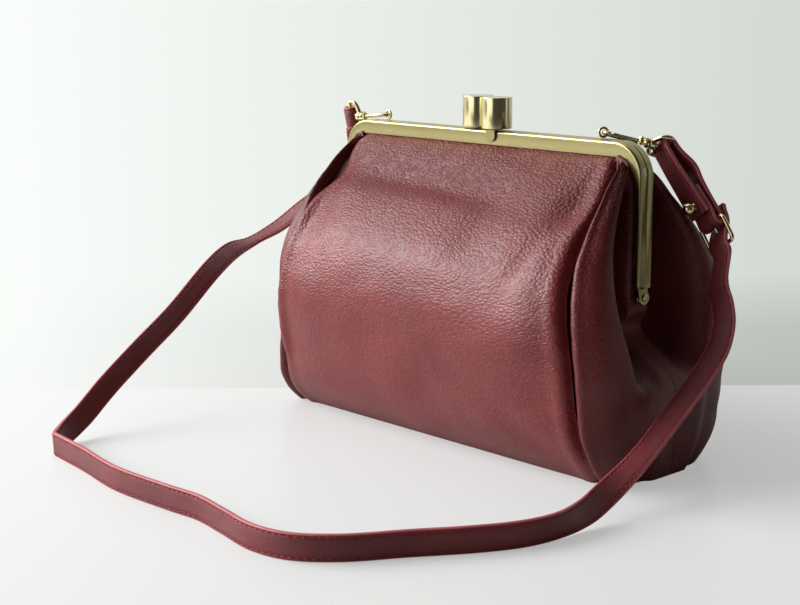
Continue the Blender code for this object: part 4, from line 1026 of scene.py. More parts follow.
def make_panels():
    top = LIP_Z + MOUTH_TUCK
    front = leather_sheet("front_leather", panel_grid(-1, 0, top, PANEL_STEP), (0.0, -1.0, 0.0), BODY_LEATHER)
    held_by(front, "front_half", "leather", "front_panel", "front_panel_upper")
    back = leather_sheet("back_leather", panel_grid(1, 0, top, PANEL_STEP), (0.0, 1.0, 0.0), BODY_LEATHER)
    held_by(back, "bag", "leather", "back_panel")


def make_gusset(word, side):
    """A gusset in one piece up to the hinge, and above it as a flap on each half of the frame."""
    out = (float(side), 0.0, 0.0)
    top = LIP_Z - GAP
    low = leather_sheet(word + "_gusset_leather", gusset_grid(side, (-1, 1), 0, SPLIT_Z), out, SHADED_GUSSET_LEATHER)
    held_by(low, "bag", "leather", word + "_gusset")
    for half, lobe, body in (("front", -1, "front_half"), ("back", 1, "bag")):
        grid = gusset_grid(side, (lobe,), SPLIT_Z, top)
        flap = leather_sheet(word + "_" + half + "_flap_leather", grid, out, SHADED_GUSSET_LEATHER)
        held_by(flap, body, "leather", word + "_gusset_" + half + "_flap")
    grid = gusset_grid(side, (-1, 1), LINING_START, SPLIT_Z)
    inside = lining_sheet(word + "_gusset_lining_cloth", grid, out)
    held_by(inside, "bag", "lining", word + "_gusset_lining")


def make_panel_lining(word, side, body):
    grid = panel_grid(side, LINING_START, TOP_ROW, PANEL_LINING_STEP)
    inside = lining_sheet(word + "_lining_cloth", grid, (0.0, float(side), 0.0))
    held_by(inside, body, "lining", word + "_lining")


def floor_outline():
    """The body's outline at the floor, round its panels and gussets."""
    outline = []
    count = FLOOR_PANEL_STEPS
    for side in (-1, 1):
        steps = range(count) if side < 0 else range(count, 0, -1)
        outline += [panel_point(-1 + 2 * j / count, side, 0) for j in steps]
        shares = [j / FLOOR_GUSSET_STEPS for j in range(FLOOR_GUSSET_STEPS)]
        first = [gusset_point(v, -side, side, 0) for v in shares]
        second = [gusset_point(v, -side, -side, 0) for v in shares[::-1]]
        outline += first[1:] + [gusset_point(1, -side, side, 0)] + second[:-1]
    return outline


def make_base():
    inner = LEATHER + GAP
    outline = floor_outline()
    rings = []
    for inset, z in ((inner + BASE_EDGE, 0.0), (inner, BASE_EDGE_RISE), (inner, LEATHER)):
        ring = []
        for p in outline:
            reach = sqrt(p.x**2 + p.y**2)
            ring.append(Vector((p.x, p.y, 0)) * (1 - inset / reach) + Vector((0, 0, z)))
        rings.append(ring)
    bm = bmesh.new()
    add_rings(bm, rings)
    held_by(piece("base_leather", bm, [BODY_LEATHER]), "bag", "leather", "base_panel")


def make_body():
    make_panels()
    for word, side in (("left", -1), ("right", 1)):
        make_gusset(word, side)
    for word, side, body in (("front", -1, "front_half"), ("back", 1, "bag")):
        make_panel_lining(word, side, body)
    make_base()


# Brass frame

def frame_stations():
    """The frame's outer and inner edge from one arm's end round its two corners to the other."""
    half = FRAME_WIDTH / 2
    centre_x = half - CORNER_RADIUS
    outer_z = FRAME_TOP - CORNER_RADIUS
    inner_z = FRAME_TOP - BAR_FACE - INNER_CORNER
    stations = [((half, CHANNEL_END), (half - ARM_FACE, CHANNEL_END))]
    steps = 28
    for i in range(steps + 1):
        turn = pi / 2 * i / steps
        stations.append((
            (centre_x + CORNER_RADIUS * cos(turn), outer_z + CORNER_RADIUS * sin(turn)),
            (centre_x + INNER_CORNER * cos(turn), inner_z + INNER_CORNER * sin(turn)),
        ))
    return stations + [((-o[0], o[1]), (-i[0], i[1])) for o, i in reversed(stations)]


def channel_ring(outer, inner, side):
    """The channel's section, with a rolled outer edge and softened inner edges."""
    outer = Vector((outer[0], 0, outer[1]))
    inward = Vector((inner[0], 0, inner[1])) - outer
    depth = inward.length
    inward.normalize()
    face = MID_GAP + HALF_DEPTH
    soft = SHEET / 4
    bevel = soft * CHANNEL_BEVEL_SHARE
    steps = 8
    turns = [pi / 2 * i / steps for i in range(steps + 1)]
    points = [(EDGE_ROUND * (1 - sin(t)), face - EDGE_ROUND * (1 - cos(t))) for t in turns]
    points += [
        (0, MID_GAP + soft), (soft, MID_GAP), (depth - soft, MID_GAP), (depth, MID_GAP + soft),
        (depth, MID_GAP + SHEET - soft), (depth - soft, MID_GAP + SHEET), (SHEET, MID_GAP + SHEET),
        (SHEET, face - SHEET), (depth - soft, face - SHEET), (depth, face - SHEET + soft),
        (depth, face - soft), (depth - bevel, face - bevel), (depth - soft, face),
    ]
    return [outer + inward * s + Vector((0, side * y, 0)) for s, y in points]


def add_plate(bm, outline, low, high, place, soft=0.0002):
    """A flat plate from an outline, its edges softened."""
    middle = sum((Vector((x, y)) for x, y in outline), Vector((0, 0))) / len(outline)
    rings = []
    for inset, z in ((soft, low), (0, low + soft), (0, high - soft), (soft, high)):
        ring = []
        for x, y in outline:
            p = Vector((x, y))
            away = (p - middle).normalized()
            p = p - away * inset
            ring.append(place @ Vector((p.x, p.y, z)))
        rings.append(ring)
    add_rings(bm, rings)


def side_place(side):
    """A place for plates that stand on a side of the bag: their x runs back and their y runs up."""
    return Matrix(((0, 0, side, 0), (1, 0, 0, 0), (0, 1, 0, 0), (0, 0, 0, 1)))


def ear_outline(side):
    """The ear that an arm turns on, as seen from the bag's side."""
    turns = [pi * (1 + i / 24) for i in range(25)]
    outline = [(EAR_RADIUS * cos(t), HINGE_Z + EAR_RADIUS * sin(t)) for t in turns]
    outline.append((EAR_RADIUS, HINGE_Z))
    top = CHANNEL_END + SHEET
    if side < 0:
        across, up = EAR_NECK_SHARES
        neck = (EAR_RADIUS * across, HINGE_Z + EAR_RADIUS * up)
        return outline + [neck, (-MID_GAP, top), (-MID_GAP - HALF_DEPTH, top)]
    near, far = MID_GAP + SHEET + GAP, MID_GAP + HALF_DEPTH - SHEET - GAP
    shoulder = HINGE_Z + EAR_RADIUS
    return outline + [(far, shoulder), (far, top), (near, top), (near, shoulder)]


def make_frame_half(word, side, body):
    """A channel bent to a U with an ear on each arm. The back half's ears lie inside the front half's."""
    bm = bmesh.new()
    add_rings(bm, [channel_ring(outer, inner, side) for outer, inner in frame_stations()])
    out = FRAME_WIDTH / 2
    if side > 0:
        out = out - SHEET - GAP
    for hand in (1, -1):
        add_plate(bm, ear_outline(side), out - SHEET, out, side_place(hand))
    brass_piece(word + "_frame_brass", bm, FRAME_BRASS, body, word + "_frame")


def make_rivet(word, side):
    """A hinge rivet, with a domed head on the outside and a domed foot on the inside of the two ears."""
    high = FRAME_WIDTH / 2 + GAP
    low = FRAME_WIDTH / 2 - 2 * SHEET - GAP * 2
    turns = [pi / 2 * i / 6 for i in range(7)]
    dome = [(RIVET_HEAD_RADIUS * sin(t), high + RIVET_HEAD * cos(t)) for t in turns]
    foot = [(RIVET_HEAD_RADIUS * cos(t), low - RIVET_HEAD * sin(t)) for t in turns]
    profile = [(0, dome[0][1])] + dome[1:] + [(RIVET_RADIUS, high), (RIVET_RADIUS, low)]
    profile += foot[:-1] + [(0, foot[-1][1])]
    bm = bmesh.new()
    add_turned(bm, profile, Matrix.Translation((0, 0, HINGE_Z)) @ side_place(side), steps=32)
    brass_piece(word + "_rivet_brass", bm, FITTING_BRASS, "bag", "hinge_rivet_" + word)


def make_frame():
    for word, side, body in (("front", -1, "front_half"), ("back", 1, "bag")):
        make_frame_half(word, side, body)
    for word, side in (("left", -1), ("right", 1)):
        make_rivet(word, side)


def knob_place(side):
    return -side * KNOB_SPACING / 2, side * KNOB_OFFSET


def make_knob(word, side, body):
    """An upright cylinder with softened rims."""
    low = FRAME_TOP + KNOB_LIFT
    high = low + KNOB_HEIGHT
    turns = [pi / 2 * i / 4 for i in range(5)]
    round_top = [(KNOB_RADIUS - KNOB_EDGE * (1 - sin(t)), high - KNOB_EDGE * (1 - cos(t))) for t in turns]
    round_low = [(r, low + high - z) for r, z in round_top[::-1]]
    profile = [(0, high), (KNOB_RADIUS * KNOB_FACE_SHARE, high)] + round_top + round_low + [(0, low)]
    bm = bmesh.new()
    add_turned(bm, profile, Matrix.Translation((*knob_place(side), 0)), steps=96)
    brass_piece(word + "_knob_brass", bm, KNOB_BRASS, body, word + "_knob")


def make_tongue(word, side, body):
    """What holds a knob: a tongue down the bar's face, a foot over the bar and a neck up into the knob."""
    x, y = knob_place(side)
    half = TONGUE_WIDTH / 2
    bottom = FRAME_TOP - TONGUE_DROP
    face = MID_GAP + HALF_DEPTH + GAP
    top = FRAME_TOP + KNOB_LIFT - GAP
    turns = [pi * (1 + i / 24) for i in range(25)]
    outline = [(x + half, top), (x - half, top)]
    outline += [(x + half * cos(t), bottom + half + half * sin(t)) for t in turns]
    upright = Matrix(((1, 0, 0, 0), (0, 0, side, 0), (0, 1, 0, 0), (0, 0, 0, 1)))
    bm = bmesh.new()
    add_plate(bm, outline, face, face + TONGUE_SHEET, upright, TONGUE_EDGE)
    near, far = sorted((side * (face + TONGUE_SHEET / 2), side * (MID_GAP + GAP)))
    foot = [(x - half, near), (x + half, near), (x + half, far), (x - half, far)]
    add_plate(bm, foot, FRAME_TOP + GAP, top, Matrix.Identity(4))
    neck_top = FRAME_TOP + KNOB_LIFT + GAP
    neck = [(0, neck_top), (TONGUE_NECK_RADIUS, neck_top), (TONGUE_NECK_RADIUS, top), (0, top)]
    add_turned(bm, neck, Matrix.Translation((x, y, 0)), steps=32)
    brass_piece(word + "_tongue_brass", bm, FRAME_BRASS, body, word + "_knob_tongue")


def make_clasp():
    for word, side, body in (("front", -1, "front_half"), ("back", 1, "bag")):
        make_knob(word, side, body)
        make_tongue(word, side, body)


# Strap fittings

def eyelet_place(word):
    side = 1 if word == "right" else -1
    return Vector((side * EYELET_SPACING / 2, EYELET_SETBACK, RING_Z))


def hook_place(word):
    return axes(eyelet_place(word), HOOK_DIRECTIONS[word], HOOK_SIDES[word])


def eye_place(word):
    along = Vector(HOOK_DIRECTIONS[word])
    return axes(eyelet_place(word), along, Vector(BAR_DIRECTIONS[word]).cross(along))


def gate_pivot():
    return Vector((HOOK_CLAW_LENGTH, -HOOK_CLAW_WIDTH * GATE_PIVOT_SHARE, 0))


def shaft_in(place):
    """A place whose z runs along another place's x, for turned forms on a hook's axis."""
    return place @ turned_to((0, 0, 0), (1, 0, 0), (0, 1, 0))


def make_eyelet(word):
    along = Vector(HOOK_DIRECTIONS[word])
    place = turned_to(eyelet_place(word), (-along.y, along.x, 0), along)
    turns = [2 * pi * i / 40 for i in range(40)]
    ring = [place @ Vector((EYELET_RADIUS * cos(t), EYELET_RADIUS * sin(t), 0)) for t in turns]
    bm = bmesh.new()
    add_wire(bm, ring, EYELET_WIRE, sides=14, closed=True)
    brass_piece(word + "_eyelet_brass", bm, FITTING_BRASS, "bag", word + "_strap_eyelet")


def neck_profile():
    """The hook's stub with its head, and its neck with a groove round it."""
    soft = HOOK_NECK_RADIUS * NECK_SOFT_SHARE
    top, middle, bottom = [NECK_END - depth for depth in NECK_GROOVE]
    head = [(HOOK_HEAD_RADIUS * out, HEAD_START + HOOK_HEAD * up) for out, up in STUB_HEAD_SHARES]
    return [(0, HEAD_START + HOOK_HEAD)] + head + [
        (HOOK_STUB_RADIUS, HEAD_START),
        (HOOK_STUB_RADIUS, NECK_END),
        (HOOK_NECK_RADIUS - soft, NECK_END),
        (HOOK_NECK_RADIUS, NECK_END - soft),
        (HOOK_NECK_RADIUS, top),
        (HOOK_NECK_RADIUS - soft, middle),
        (HOOK_NECK_RADIUS, bottom),
        (HOOK_NECK_RADIUS, NECK_START + soft),
        (HOOK_NECK_RADIUS - soft, NECK_START),
        (0, NECK_START),
    ]


def make_hook(word):
    """A snap hook: a claw that thins towards its tip, a fork for the gate, and a headed stub for the eye."""
    place = hook_place(word)
    claw = [Vector((share * NECK_START, y * HOOK_CLAW_WIDTH, 0)) for share, y in CLAW_SHARES]
    claw = smooth_path(claw, per_span=7)
    last = len(claw) - 1
    thinned = [CLAW_THINNING_SHARE * fade(i / last, *CLAW_TAPER_SHARES) for i in range(len(claw))]
    radii = [HOOK_WIRE * (CLAW_THICK_SHARE - share) for share in thinned]
    bm = bmesh.new()
    add_wire(bm, [place @ p for p in claw], radii, sides=20)
    add_turned(bm, neck_profile(), shaft_in(place), steps=40)
    pivot = gate_pivot()
    neck = NECK_START + HOOK_NECK / 2
    lug = FORK_RADIUS * FORK_LUG_SHARE
    turns = [pi * (0.5 + i / 20) for i in range(21)]
    outline = [(pivot.x + FORK_RADIUS * cos(t), pivot.y + FORK_RADIUS * sin(t)) for t in turns]
    outline += [(neck, pivot.y - lug), (neck, pivot.y + lug)]
    for side in (1, -1):
        low, high = sorted((side * (GATE_WIRE + GAP), side * (GATE_WIRE + GAP + FORK_SHEET)))
        add_plate(bm, outline, low, high, place, SOFT_EDGE)
    brass_piece(word + "_hook_brass", bm, FITTING_BRASS, "bag", word + "_hook")


def make_gate(word):
    """The hook's gate: a wire from an eye on its pin to the tip of the claw."""
    place = hook_place(word)
    pivot = gate_pivot()
    nose_x = CLAW_SHARES[-1][0] * NECK_START + GATE_NOSE_CLEAR
    reach = Vector((nose_x, -HOOK_CLAW_WIDTH * GATE_NOSE_SHARE, 0)) - pivot
    bm = bmesh.new()
    path = [place @ (pivot + reach * share) for share, thick in GATE_SHARES]
    add_wire(bm, path, [GATE_WIRE * thick for share, thick in GATE_SHARES], sides=16)
    eye = [(0, GATE_WIRE), (GATE_EYE_RADIUS, GATE_WIRE), (GATE_EYE_RADIUS, -GATE_WIRE), (0, -GATE_WIRE)]
    add_turned(bm, eye, place @ Matrix.Translation(pivot), steps=28)
    brass_piece(word + "_gate_brass", bm, FITTING_BRASS, word + "_gate", word + "_hook_gate")


def make_gate_pin(word):
    """The gate's pin, with a low dome on each side of the fork."""
    start = GATE_WIRE + GAP * 2 + FORK_SHEET
    profile = [(GATE_PIN_HEAD_RADIUS * out, start + GATE_PIN_HEAD * up) for out, up in PIN_HEAD_SHARES]
    profile.append((GATE_PIN_RADIUS, start))
    profile += [(r, -z) for r, z in profile[::-1]]
    bm = bmesh.new()
    add_turned(bm, profile, hook_place(word) @ Matrix.Translation(gate_pivot()), steps=24)
    brass_piece(word + "_gate_pin_brass", bm, FITTING_BRASS, "bag", word + "_hook_gate_pin")


def make_eye(word):
    """The swivel eye: a wire loop with a straight bar for the strap, and a boss round the hook's stub."""
    place = eye_place(word)
    start = BOSS_START + EYE_BOSS / 2
    length = BAR_PLACE - start
    half = [Vector((start + share * length, y * EYE_HALF_WIDTH, 0)) for share, y in EYE_SHARES]
    other = [Vector((p.x, -p.y, 0)) for p in half[1:-1]][::-1]
    loop = smooth_loop(half + other, per_span=5)
    swells = [EYE_SWELL_SHARE * fade(1 - p.x / BAR_PLACE, *EYE_SWELL_PLACE_SHARES) for p in loop]
    radii = [EYE_WIRE * (1.0 + share) for share in swells]
    tilted = place @ Matrix.Rotation(pi / 2, 4, "X")
    bm = bmesh.new()
    add_wire(bm, [tilted @ p for p in loop], radii, sides=18, closed=True)
    face = EYE_BOSS_RADIUS * EYE_BOSS_FACE_SHARE
    boss = [
        (EYE_HOLE_RADIUS, BOSS_END), (face, BOSS_END), (EYE_BOSS_RADIUS, BOSS_END - EYE_BOSS_EDGE),
        (EYE_BOSS_RADIUS, BOSS_START + EYE_BOSS_EDGE), (face, BOSS_START), (EYE_HOLE_RADIUS, BOSS_START),
    ]
    add_collar(bm, boss, shaft_in(place), steps=40)
    brass_piece(word + "_swivel_eye_brass", bm, FITTING_BRASS, word + "_eye", word + "_swivel_eye")


# Strap and tab

def strap_turn(i):
    """The width direction at a point number of the strap's route, smoothly between the named ones."""
    low = max((t for t in STRAP_TURNS if t[0] <= i), key=lambda t: t[0])
    high = min((t for t in STRAP_TURNS if t[0] >= i), key=lambda t: t[0])
    if low[0] == high[0]:
        return Vector(low[1])
    share = (i - low[0]) / (high[0] - low[0])
    share = share * share * (3 - 2 * share)
    return Vector(low[1]).lerp(Vector(high[1]), share)


def bar_axis(word):
    return (eye_place(word).to_3x3() @ Vector((0, 0, 1))).normalized()


def tab_axes(share):
    """The tab's middle plane at a share of its length: a point, the way down, the way to its far face, and its
    width direction, which turns from the eye's bar to the buckle's bar."""
    down = Vector(TAB_DIRECTION).normalized()
    turn = min(max(share, 0), 1)
    wide = bar_axis("right").lerp(Vector(BUCKLE_BAR_DIRECTION).normalized(), turn * turn * (3 - 2 * turn))
    wide = (wide - down * wide.dot(down)).normalized()
    start = eye_place("right") @ Vector((BAR_PLACE, 0, 0))
    return start + down * TAB_LENGTH * share, down, wide.cross(down).normalized(), wide


def buckle_place():
    """The buckle's place: origin at its heel bar, x towards its end bar, z along the bars."""
    end, down, side, bar = tab_axes(1)
    heel = end + side * TAB_PITCH / 2
    x = Vector(BUCKLE_DIRECTION)
    x = (x - bar * x.dot(bar)).normalized()
    return Matrix.Translation(heel) @ Matrix((x, bar.cross(x), bar)).transposed().to_4x4()


def loop_round(centre, start, side, radius, steps=6):
    """Half a turn round a bar, from one side of it to the other, through its far side."""
    turns = [pi * i / steps for i in range(steps + 1)]
    return [centre + side * radius * cos(t) + start * radius * sin(t) for t in turns]


def strap_section():
    right = list(SECTION_SIDE_SHARES) + [(w, -t) for w, t in SECTION_SIDE_SHARES[-2::-1]]
    left = [(-w, -t) for w, t in right]
    middle, (across, up) = FLAT_SHARES
    under = [(across, -up), (middle[0], -middle[1]), (-across, -up)]
    return [middle, (across, up)] + right + under + left + [(-across, up)]


def band_frames(route, widths):
    """At each point of a band's route: the point, its width direction and the way through it."""
    count = len(route)
    made = []
    for i in range(count):
        along = (route[min(i + 1, count - 1)] - route[max(i - 1, 0)]).normalized()
        wide = widths[i].normalized()
        made.append((route[i], wide, along.cross(wide).normalized()))
    return made


def add_band(bm, frames):
    """A strap along its frames, with painted edges as its second material."""
    section = strap_section()
    half, thick = STRAP_WIDTH / 2, STRAP_THICKNESS / 2
    last = len(frames) - 1
    rings = []
    for i, (point, wide, through) in enumerate(frames):
        shrink = STRAP_END_SHARE if i in (0, last) else 1.0
        rings.append([point + wide * half * w * shrink + through * thick * t * shrink for w, t in section])
    count = len(section)

    def edge(i):
        one, two = section[i], section[(i + 1) % count]
        return 1 if min(abs(one[0]), abs(two[0])) >= EDGE_PAINT_SHARE else 0

    add_rings(bm, rings, material=edge)


def stitch_tree():
    """Short thread stitches laid along a line."""
    tree = bpy.data.node_groups.new("stitches", "GeometryNodeTree")
    face = tree.interface
    face.new_socket("Line", in_out="INPUT", socket_type="NodeSocketGeometry")
    for name, value in (("Stitch Pitch", 0.003), ("Stitch Length", 0.0021), ("Thread Radius", 0.00022)):
        face.new_socket(name, in_out="INPUT", socket_type="NodeSocketFloat").default_value = value
    face.new_socket("Thread", in_out="INPUT", socket_type="NodeSocketMaterial")
    face.new_socket("Stitches", in_out="OUTPUT", socket_type="NodeSocketGeometry")
    nodes, link = tree.nodes, tree.links.new
    start, end = nodes.new("NodeGroupInput"), nodes.new("NodeGroupOutput")
    spots = nodes.new("GeometryNodeCurveToPoints")
    spots.mode = "LENGTH"
    thread = nodes.new("GeometryNodeMeshUVSphere")
    thread.inputs["Segments"].default_value = 6
    thread.inputs["Rings"].default_value = 5
    thread.inputs["Radius"].default_value = 1.0
    half = nodes.new("ShaderNodeMath")
    half.operation = "MULTIPLY"
    half.inputs[1].default_value = 0.5
    size = nodes.new("ShaderNodeCombineXYZ")
    laid = nodes.new("GeometryNodeInstanceOnPoints")
    real = nodes.new("GeometryNodeRealizeInstances")
    coloured = nodes.new("GeometryNodeSetMaterial")
    smooth = nodes.new("GeometryNodeSetShadeSmooth")
    link(start.outputs["Line"], spots.inputs["Curve"])
    link(start.outputs["Stitch Pitch"], spots.inputs["Length"])
    link(start.outputs["Stitch Length"], half.inputs[0])
    link(start.outputs["Thread Radius"], size.inputs["X"])
    link(start.outputs["Thread Radius"], size.inputs["Y"])
    link(half.outputs[0], size.inputs["Z"])
    link(spots.outputs["Points"], laid.inputs["Points"])
    link(spots.outputs["Rotation"], laid.inputs["Rotation"])
    link(thread.outputs["Mesh"], laid.inputs["Instance"])
    link(size.outputs[0], laid.inputs["Scale"])
    link(laid.outputs[0], real.inputs[0])
    link(real.outputs[0], smooth.inputs["Geometry"])
    link(smooth.outputs[0], coloured.inputs["Geometry"])
    link(start.outputs["Thread"], coloured.inputs["Material"])
    link(coloured.outputs[0], end.inputs[0])
    return tree


def laid_out(holder, tree, values):
    """The plain mesh that a node tree makes on an object, its inputs set by their identifiers."""
    step = holder.modifiers.new("made", "NODES")
    step.node_group = tree
    for item in tree.interface.items_tree:
        if item.in_out == "INPUT" and item.name in values:
            step[item.identifier] = values[item.name]
    holder.update_tag()
    bpy.context.view_layer.update()
    graph = bpy.context.evaluated_depsgraph_get()
    mesh = bpy.data.meshes.new_from_object(holder.evaluated_get(graph))
    bpy.data.objects.remove(holder)
    return mesh


def stitch_lines(name, lines, values):
    """Stitches along several open lines, as one piece."""
    curve = bpy.data.curves.new(name + "_lines", "CURVE")
    curve.dimensions = "3D"
    for points in lines:
        spline = curve.splines.new("POLY")
        spline.points.add(len(points) - 1)
        for spot, p in zip(spline.points, points):
            spot.co = (*p, 1.0)
    holder = bpy.data.objects.new(name + "_lines", curve)
    bpy.context.scene.collection.objects.link(holder)
    made = bpy.data.objects.new(name, laid_out(holder, STITCHES, values))
    bpy.context.scene.collection.objects.link(made)
    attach(made, "bag")
    return made


def edge_lines(frames, first, last):
    """The lines of a band's edge stitching on its two faces."""
    across, up = STITCH_LINE_SHARES
    lines = []
    for face in (1, -1):
        for edge in (1, -1):
            lines.append([
                point + wide * edge * STRAP_WIDTH / 2 * across + through * face * STRAP_THICKNESS / 2 * up
                for point, wide, through in frames[first:last]
            ])
    return lines


STITCHES = stitch_tree()
STITCH_SIZES = {"Stitch Pitch": 0.0032, "Stitch Length": 0.0024, "Thread Radius": 0.00040, "Thread": THREAD}


def strap_leather_piece(name, frames, node):
    bm = bmesh.new()
    add_band(bm, frames)
    made = piece(name, bm, [STRAP_LEATHER, EDGE_PAINT], pi / 3)
    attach(made, "bag")
    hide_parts(node)


def tab_point(share, offset):
    """A point on the tab's middle line at a share of its length, moved towards its far face."""
    point, down, side, wide = tab_axes(share)
    return point + side * offset


def make_tab():
    """The short tab: from its near face round the eye's bar, down the far face, round the buckle's heel bar and
    up again between the two."""
    origin, down, side, bar = tab_axes(0)
    heel_side = tab_axes(1)[2]
    near = [tab_point(share, -TAB_PITCH) for share in TAB_NEAR_SHARES]
    eye_turn = loop_round(origin, -down, -side, LOOP_RADIUS)
    far = [tab_point(share, TAB_PITCH + TAB_SLACK * slack) for share, slack in TAB_FAR_SHARES]
    heel_turn = loop_round(buckle_place().translation, down, heel_side, LOOP_RADIUS)
    tail = [tab_point(share, 0) for share in TAB_TAIL_SHARES]
    shares = list(TAB_NEAR_SHARES) + [0] * len(eye_turn) + [share for share, slack in TAB_FAR_SHARES]
    shares += [1] * len(heel_turn) + list(TAB_TAIL_SHARES)
    route = smooth_path(near + eye_turn + far + heel_turn + tail, TAB_SPAN_STEPS)
    widths = smooth_path([tab_axes(share)[3] for share in shares], TAB_SPAN_STEPS)
    frames = band_frames(route, widths)
    strap_leather_piece("strap_tab_leather", frames, "strap_tab")
    stitch_lines("strap_tab_stitches", edge_lines(frames, 2, len(frames) - 2), STITCH_SIZES)


def make_stud():
    """The ball stud through the tab: a ball on a neck and collar in front, and a foot behind."""
    point, down, side, wide = tab_axes(STUD_SHARE)
    near = TAB_PITCH + STRAP_THICKNESS / 2 + GAP
    far = -(TAB_PITCH + TAB_SLACK * STUD_SLACK_SHARE + STRAP_THICKNESS / 2 + GAP)
    ball = STUD_BALL_RADIUS
    seat = near + STUD_NECK + ball * STUD_BALL_SEAT_SHARE
    turns = [pi / 2 - pi * STUD_BALL_TURN_SHARE * i / 20 for i in range(21)]
    profile = [(0, seat + ball)] + [(ball * cos(t), seat + ball * sin(t)) for t in turns[1:]]
    profile += [
        (STUD_NECK_RADIUS, near + STUD_COLLAR),
        (STUD_COLLAR_RADIUS, near + STUD_COLLAR - SOFT_EDGE),
        (STUD_COLLAR_RADIUS, near),
        (STUD_SHANK, near),
        (STUD_SHANK, far),
        (STUD_FOOT_RADIUS, far),
        (STUD_FOOT_RADIUS, far - STUD_FOOT + STUD_FOOT_EDGE),
        (STUD_FOOT_FACE_RADIUS, far - STUD_FOOT),
        (0, far - STUD_FOOT),
    ]
    bm = bmesh.new()
    add_turned(bm, profile, turned_to(point, -side, down), steps=40)
    brass_piece("tab_ball_stud_brass", bm, FITTING_BRASS, "bag", "tab_ball_stud")


def make_buckle():
    """The buckle's frame: a closed wire with a bend at each of its four corners."""
    near_x, far_x = BUCKLE_BEND, BUCKLE_LENGTH - BUCKLE_BEND
    z = BUCKLE_INNER_WIDTH / 2 + BUCKLE_WIRE - BUCKLE_BEND
    path = []
    for corner, centre in enumerate(((near_x, -z), (far_x, -z), (far_x, z), (near_x, z))):
        for i in range(11):
            turn = pi / 2 * (2 + corner + i / 10)
            across, up = BUCKLE_BEND * cos(turn), BUCKLE_BEND * sin(turn)
            path.append(Vector((centre[0] + across, centre[1] + up, 0)))
    upright = buckle_place() @ Matrix.Rotation(pi / 2, 4, "X")
    bm = bmesh.new()
    add_wire(bm, [upright @ p for p in path], BUCKLE_WIRE, sides=18, closed=True)
    brass_piece("buckle_frame_brass", bm, FITTING_BRASS, "bag", "buckle_frame")


def make_prong():
    """The prong: a wire that thins to its tip over the end bar, and an eye round the heel bar."""
    place = buckle_place()
    eye = PRONG_EYE_RADIUS
    tip = Vector((BUCKLE_LENGTH + BUCKLE_WIRE * PRONG_TIP_SHARE, BUCKLE_WIRE + PRONG_WIRE + GAP, 0))
    start = Vector((eye * PRONG_START_SHARES[0], eye * PRONG_START_SHARES[1], 0))
    bm = bmesh.new()
    path = [place @ start.lerp(tip, share) for share, thick in PRONG_SHARES]
    add_wire(bm, path, [PRONG_WIRE * thick for share, thick in PRONG_SHARES], sides=16)
    hole = BUCKLE_WIRE + GAP
    wall = PRONG_WIRE
    section = [
        (hole, wall), (eye - SOFT_EDGE, wall), (eye, wall - SOFT_EDGE),
        (eye, SOFT_EDGE - wall), (eye - SOFT_EDGE, -wall), (hole, -wall),
    ]
    add_collar(bm, section, place, steps=36)
    brass_piece("buckle_prong_brass", bm, FITTING_BRASS, "prong", "buckle_prong")


def strap_run():
    """The strap's middle line and width directions along its free run, laid from its lower edge."""
    half = STRAP_WIDTH / 2
    edge = [Vector(p) for p in STRAP_EDGE_ROUTE]
    last = len(edge) - 1
    run = []
    turns = []
    for i, point in enumerate(edge):
        along = (edge[min(i + 1, last)] - edge[max(i - 1, 0)]).normalized()
        wide = strap_turn(i).normalized()
        if point.z > 0:
            wide = (wide - along * wide.dot(along)).normalized()
        turns.append(wide)
        run.append(point + wide * half)
    return run, turns


def left_fold(first):
    """The strap's folded end at the left eye, up to the first point of its run, and its width direction."""
    bar = bar_axis("left")
    if bar.z < 0:
        bar = -bar
    centre = eye_place("left") @ Vector((BAR_PLACE, 0, 0)) - bar * FOLD_DROP
    away = first - centre
    away = (away - bar * away.dot(bar)).normalized()
    side = bar.cross(away).normalized()
    pitch = (STRAP_THICKNESS + GAP) / 2
    folds = list(zip(FOLD_SHARES, (pitch, pitch, pitch + LEATHER)))
    tail = [centre + away * LOOP_RADIUS * s + side * b for s, b in folds]
    turn = loop_round(centre, -away, side, LOOP_RADIUS)
    out = [centre + away * LOOP_RADIUS * s - side * b for s, b in folds[::-1]]
    return tail + turn + out, bar


def buckled_end():
    """The strap's end through the buckle, and its width direction."""
    place = buckle_place()
    clear = BUCKLE_WIRE + GAP * 3 + STRAP_THICKNESS / 2
    over = LOOP_RADIUS + STRAP_THICKNESS + GAP * 4
    points = [place @ Vector((BUCKLE_LENGTH * x, clear * y, 0)) for x, y in UNDER_BUCKLE_SHARES]
    points += [place @ Vector((BUCKLE_LENGTH * x, over * y, 0)) for x, y in OVER_HEEL_SHARES]
    return points, -(place.to_3x3() @ Vector((0, 0, 1))).normalized()


def make_strap():
    """The long strap: folded round the left eye, laid along its run, and buckled at its right end."""
    run, turns = strap_run()
    fold, fold_width = left_fold(run[0])
    end, end_width = buckled_end()
    widths = [fold_width] * len(fold) + turns + [end_width] * len(end)
    route = smooth_path(fold + run + end, STRAP_SPAN_STEPS)
    frames = band_frames(route, smooth_path(widths, STRAP_SPAN_STEPS))
    strap_leather_piece("shoulder_strap_leather", frames, "shoulder_strap")
    first = len(fold) * STRAP_SPAN_STEPS
    stitch_lines("shoulder_strap_stitches", edge_lines(frames, first, len(frames) - 4), STITCH_SIZES)


# Studio and camera

def share_along(f, value, direction):
    """How far a position or a direction runs along another direction."""
    made = f.node("ShaderNodeVectorMath", operation="DOT_PRODUCT")
    f.link(value, made.inputs[0])
    made.inputs[1].default_value = direction
    return made.outputs["Value"]


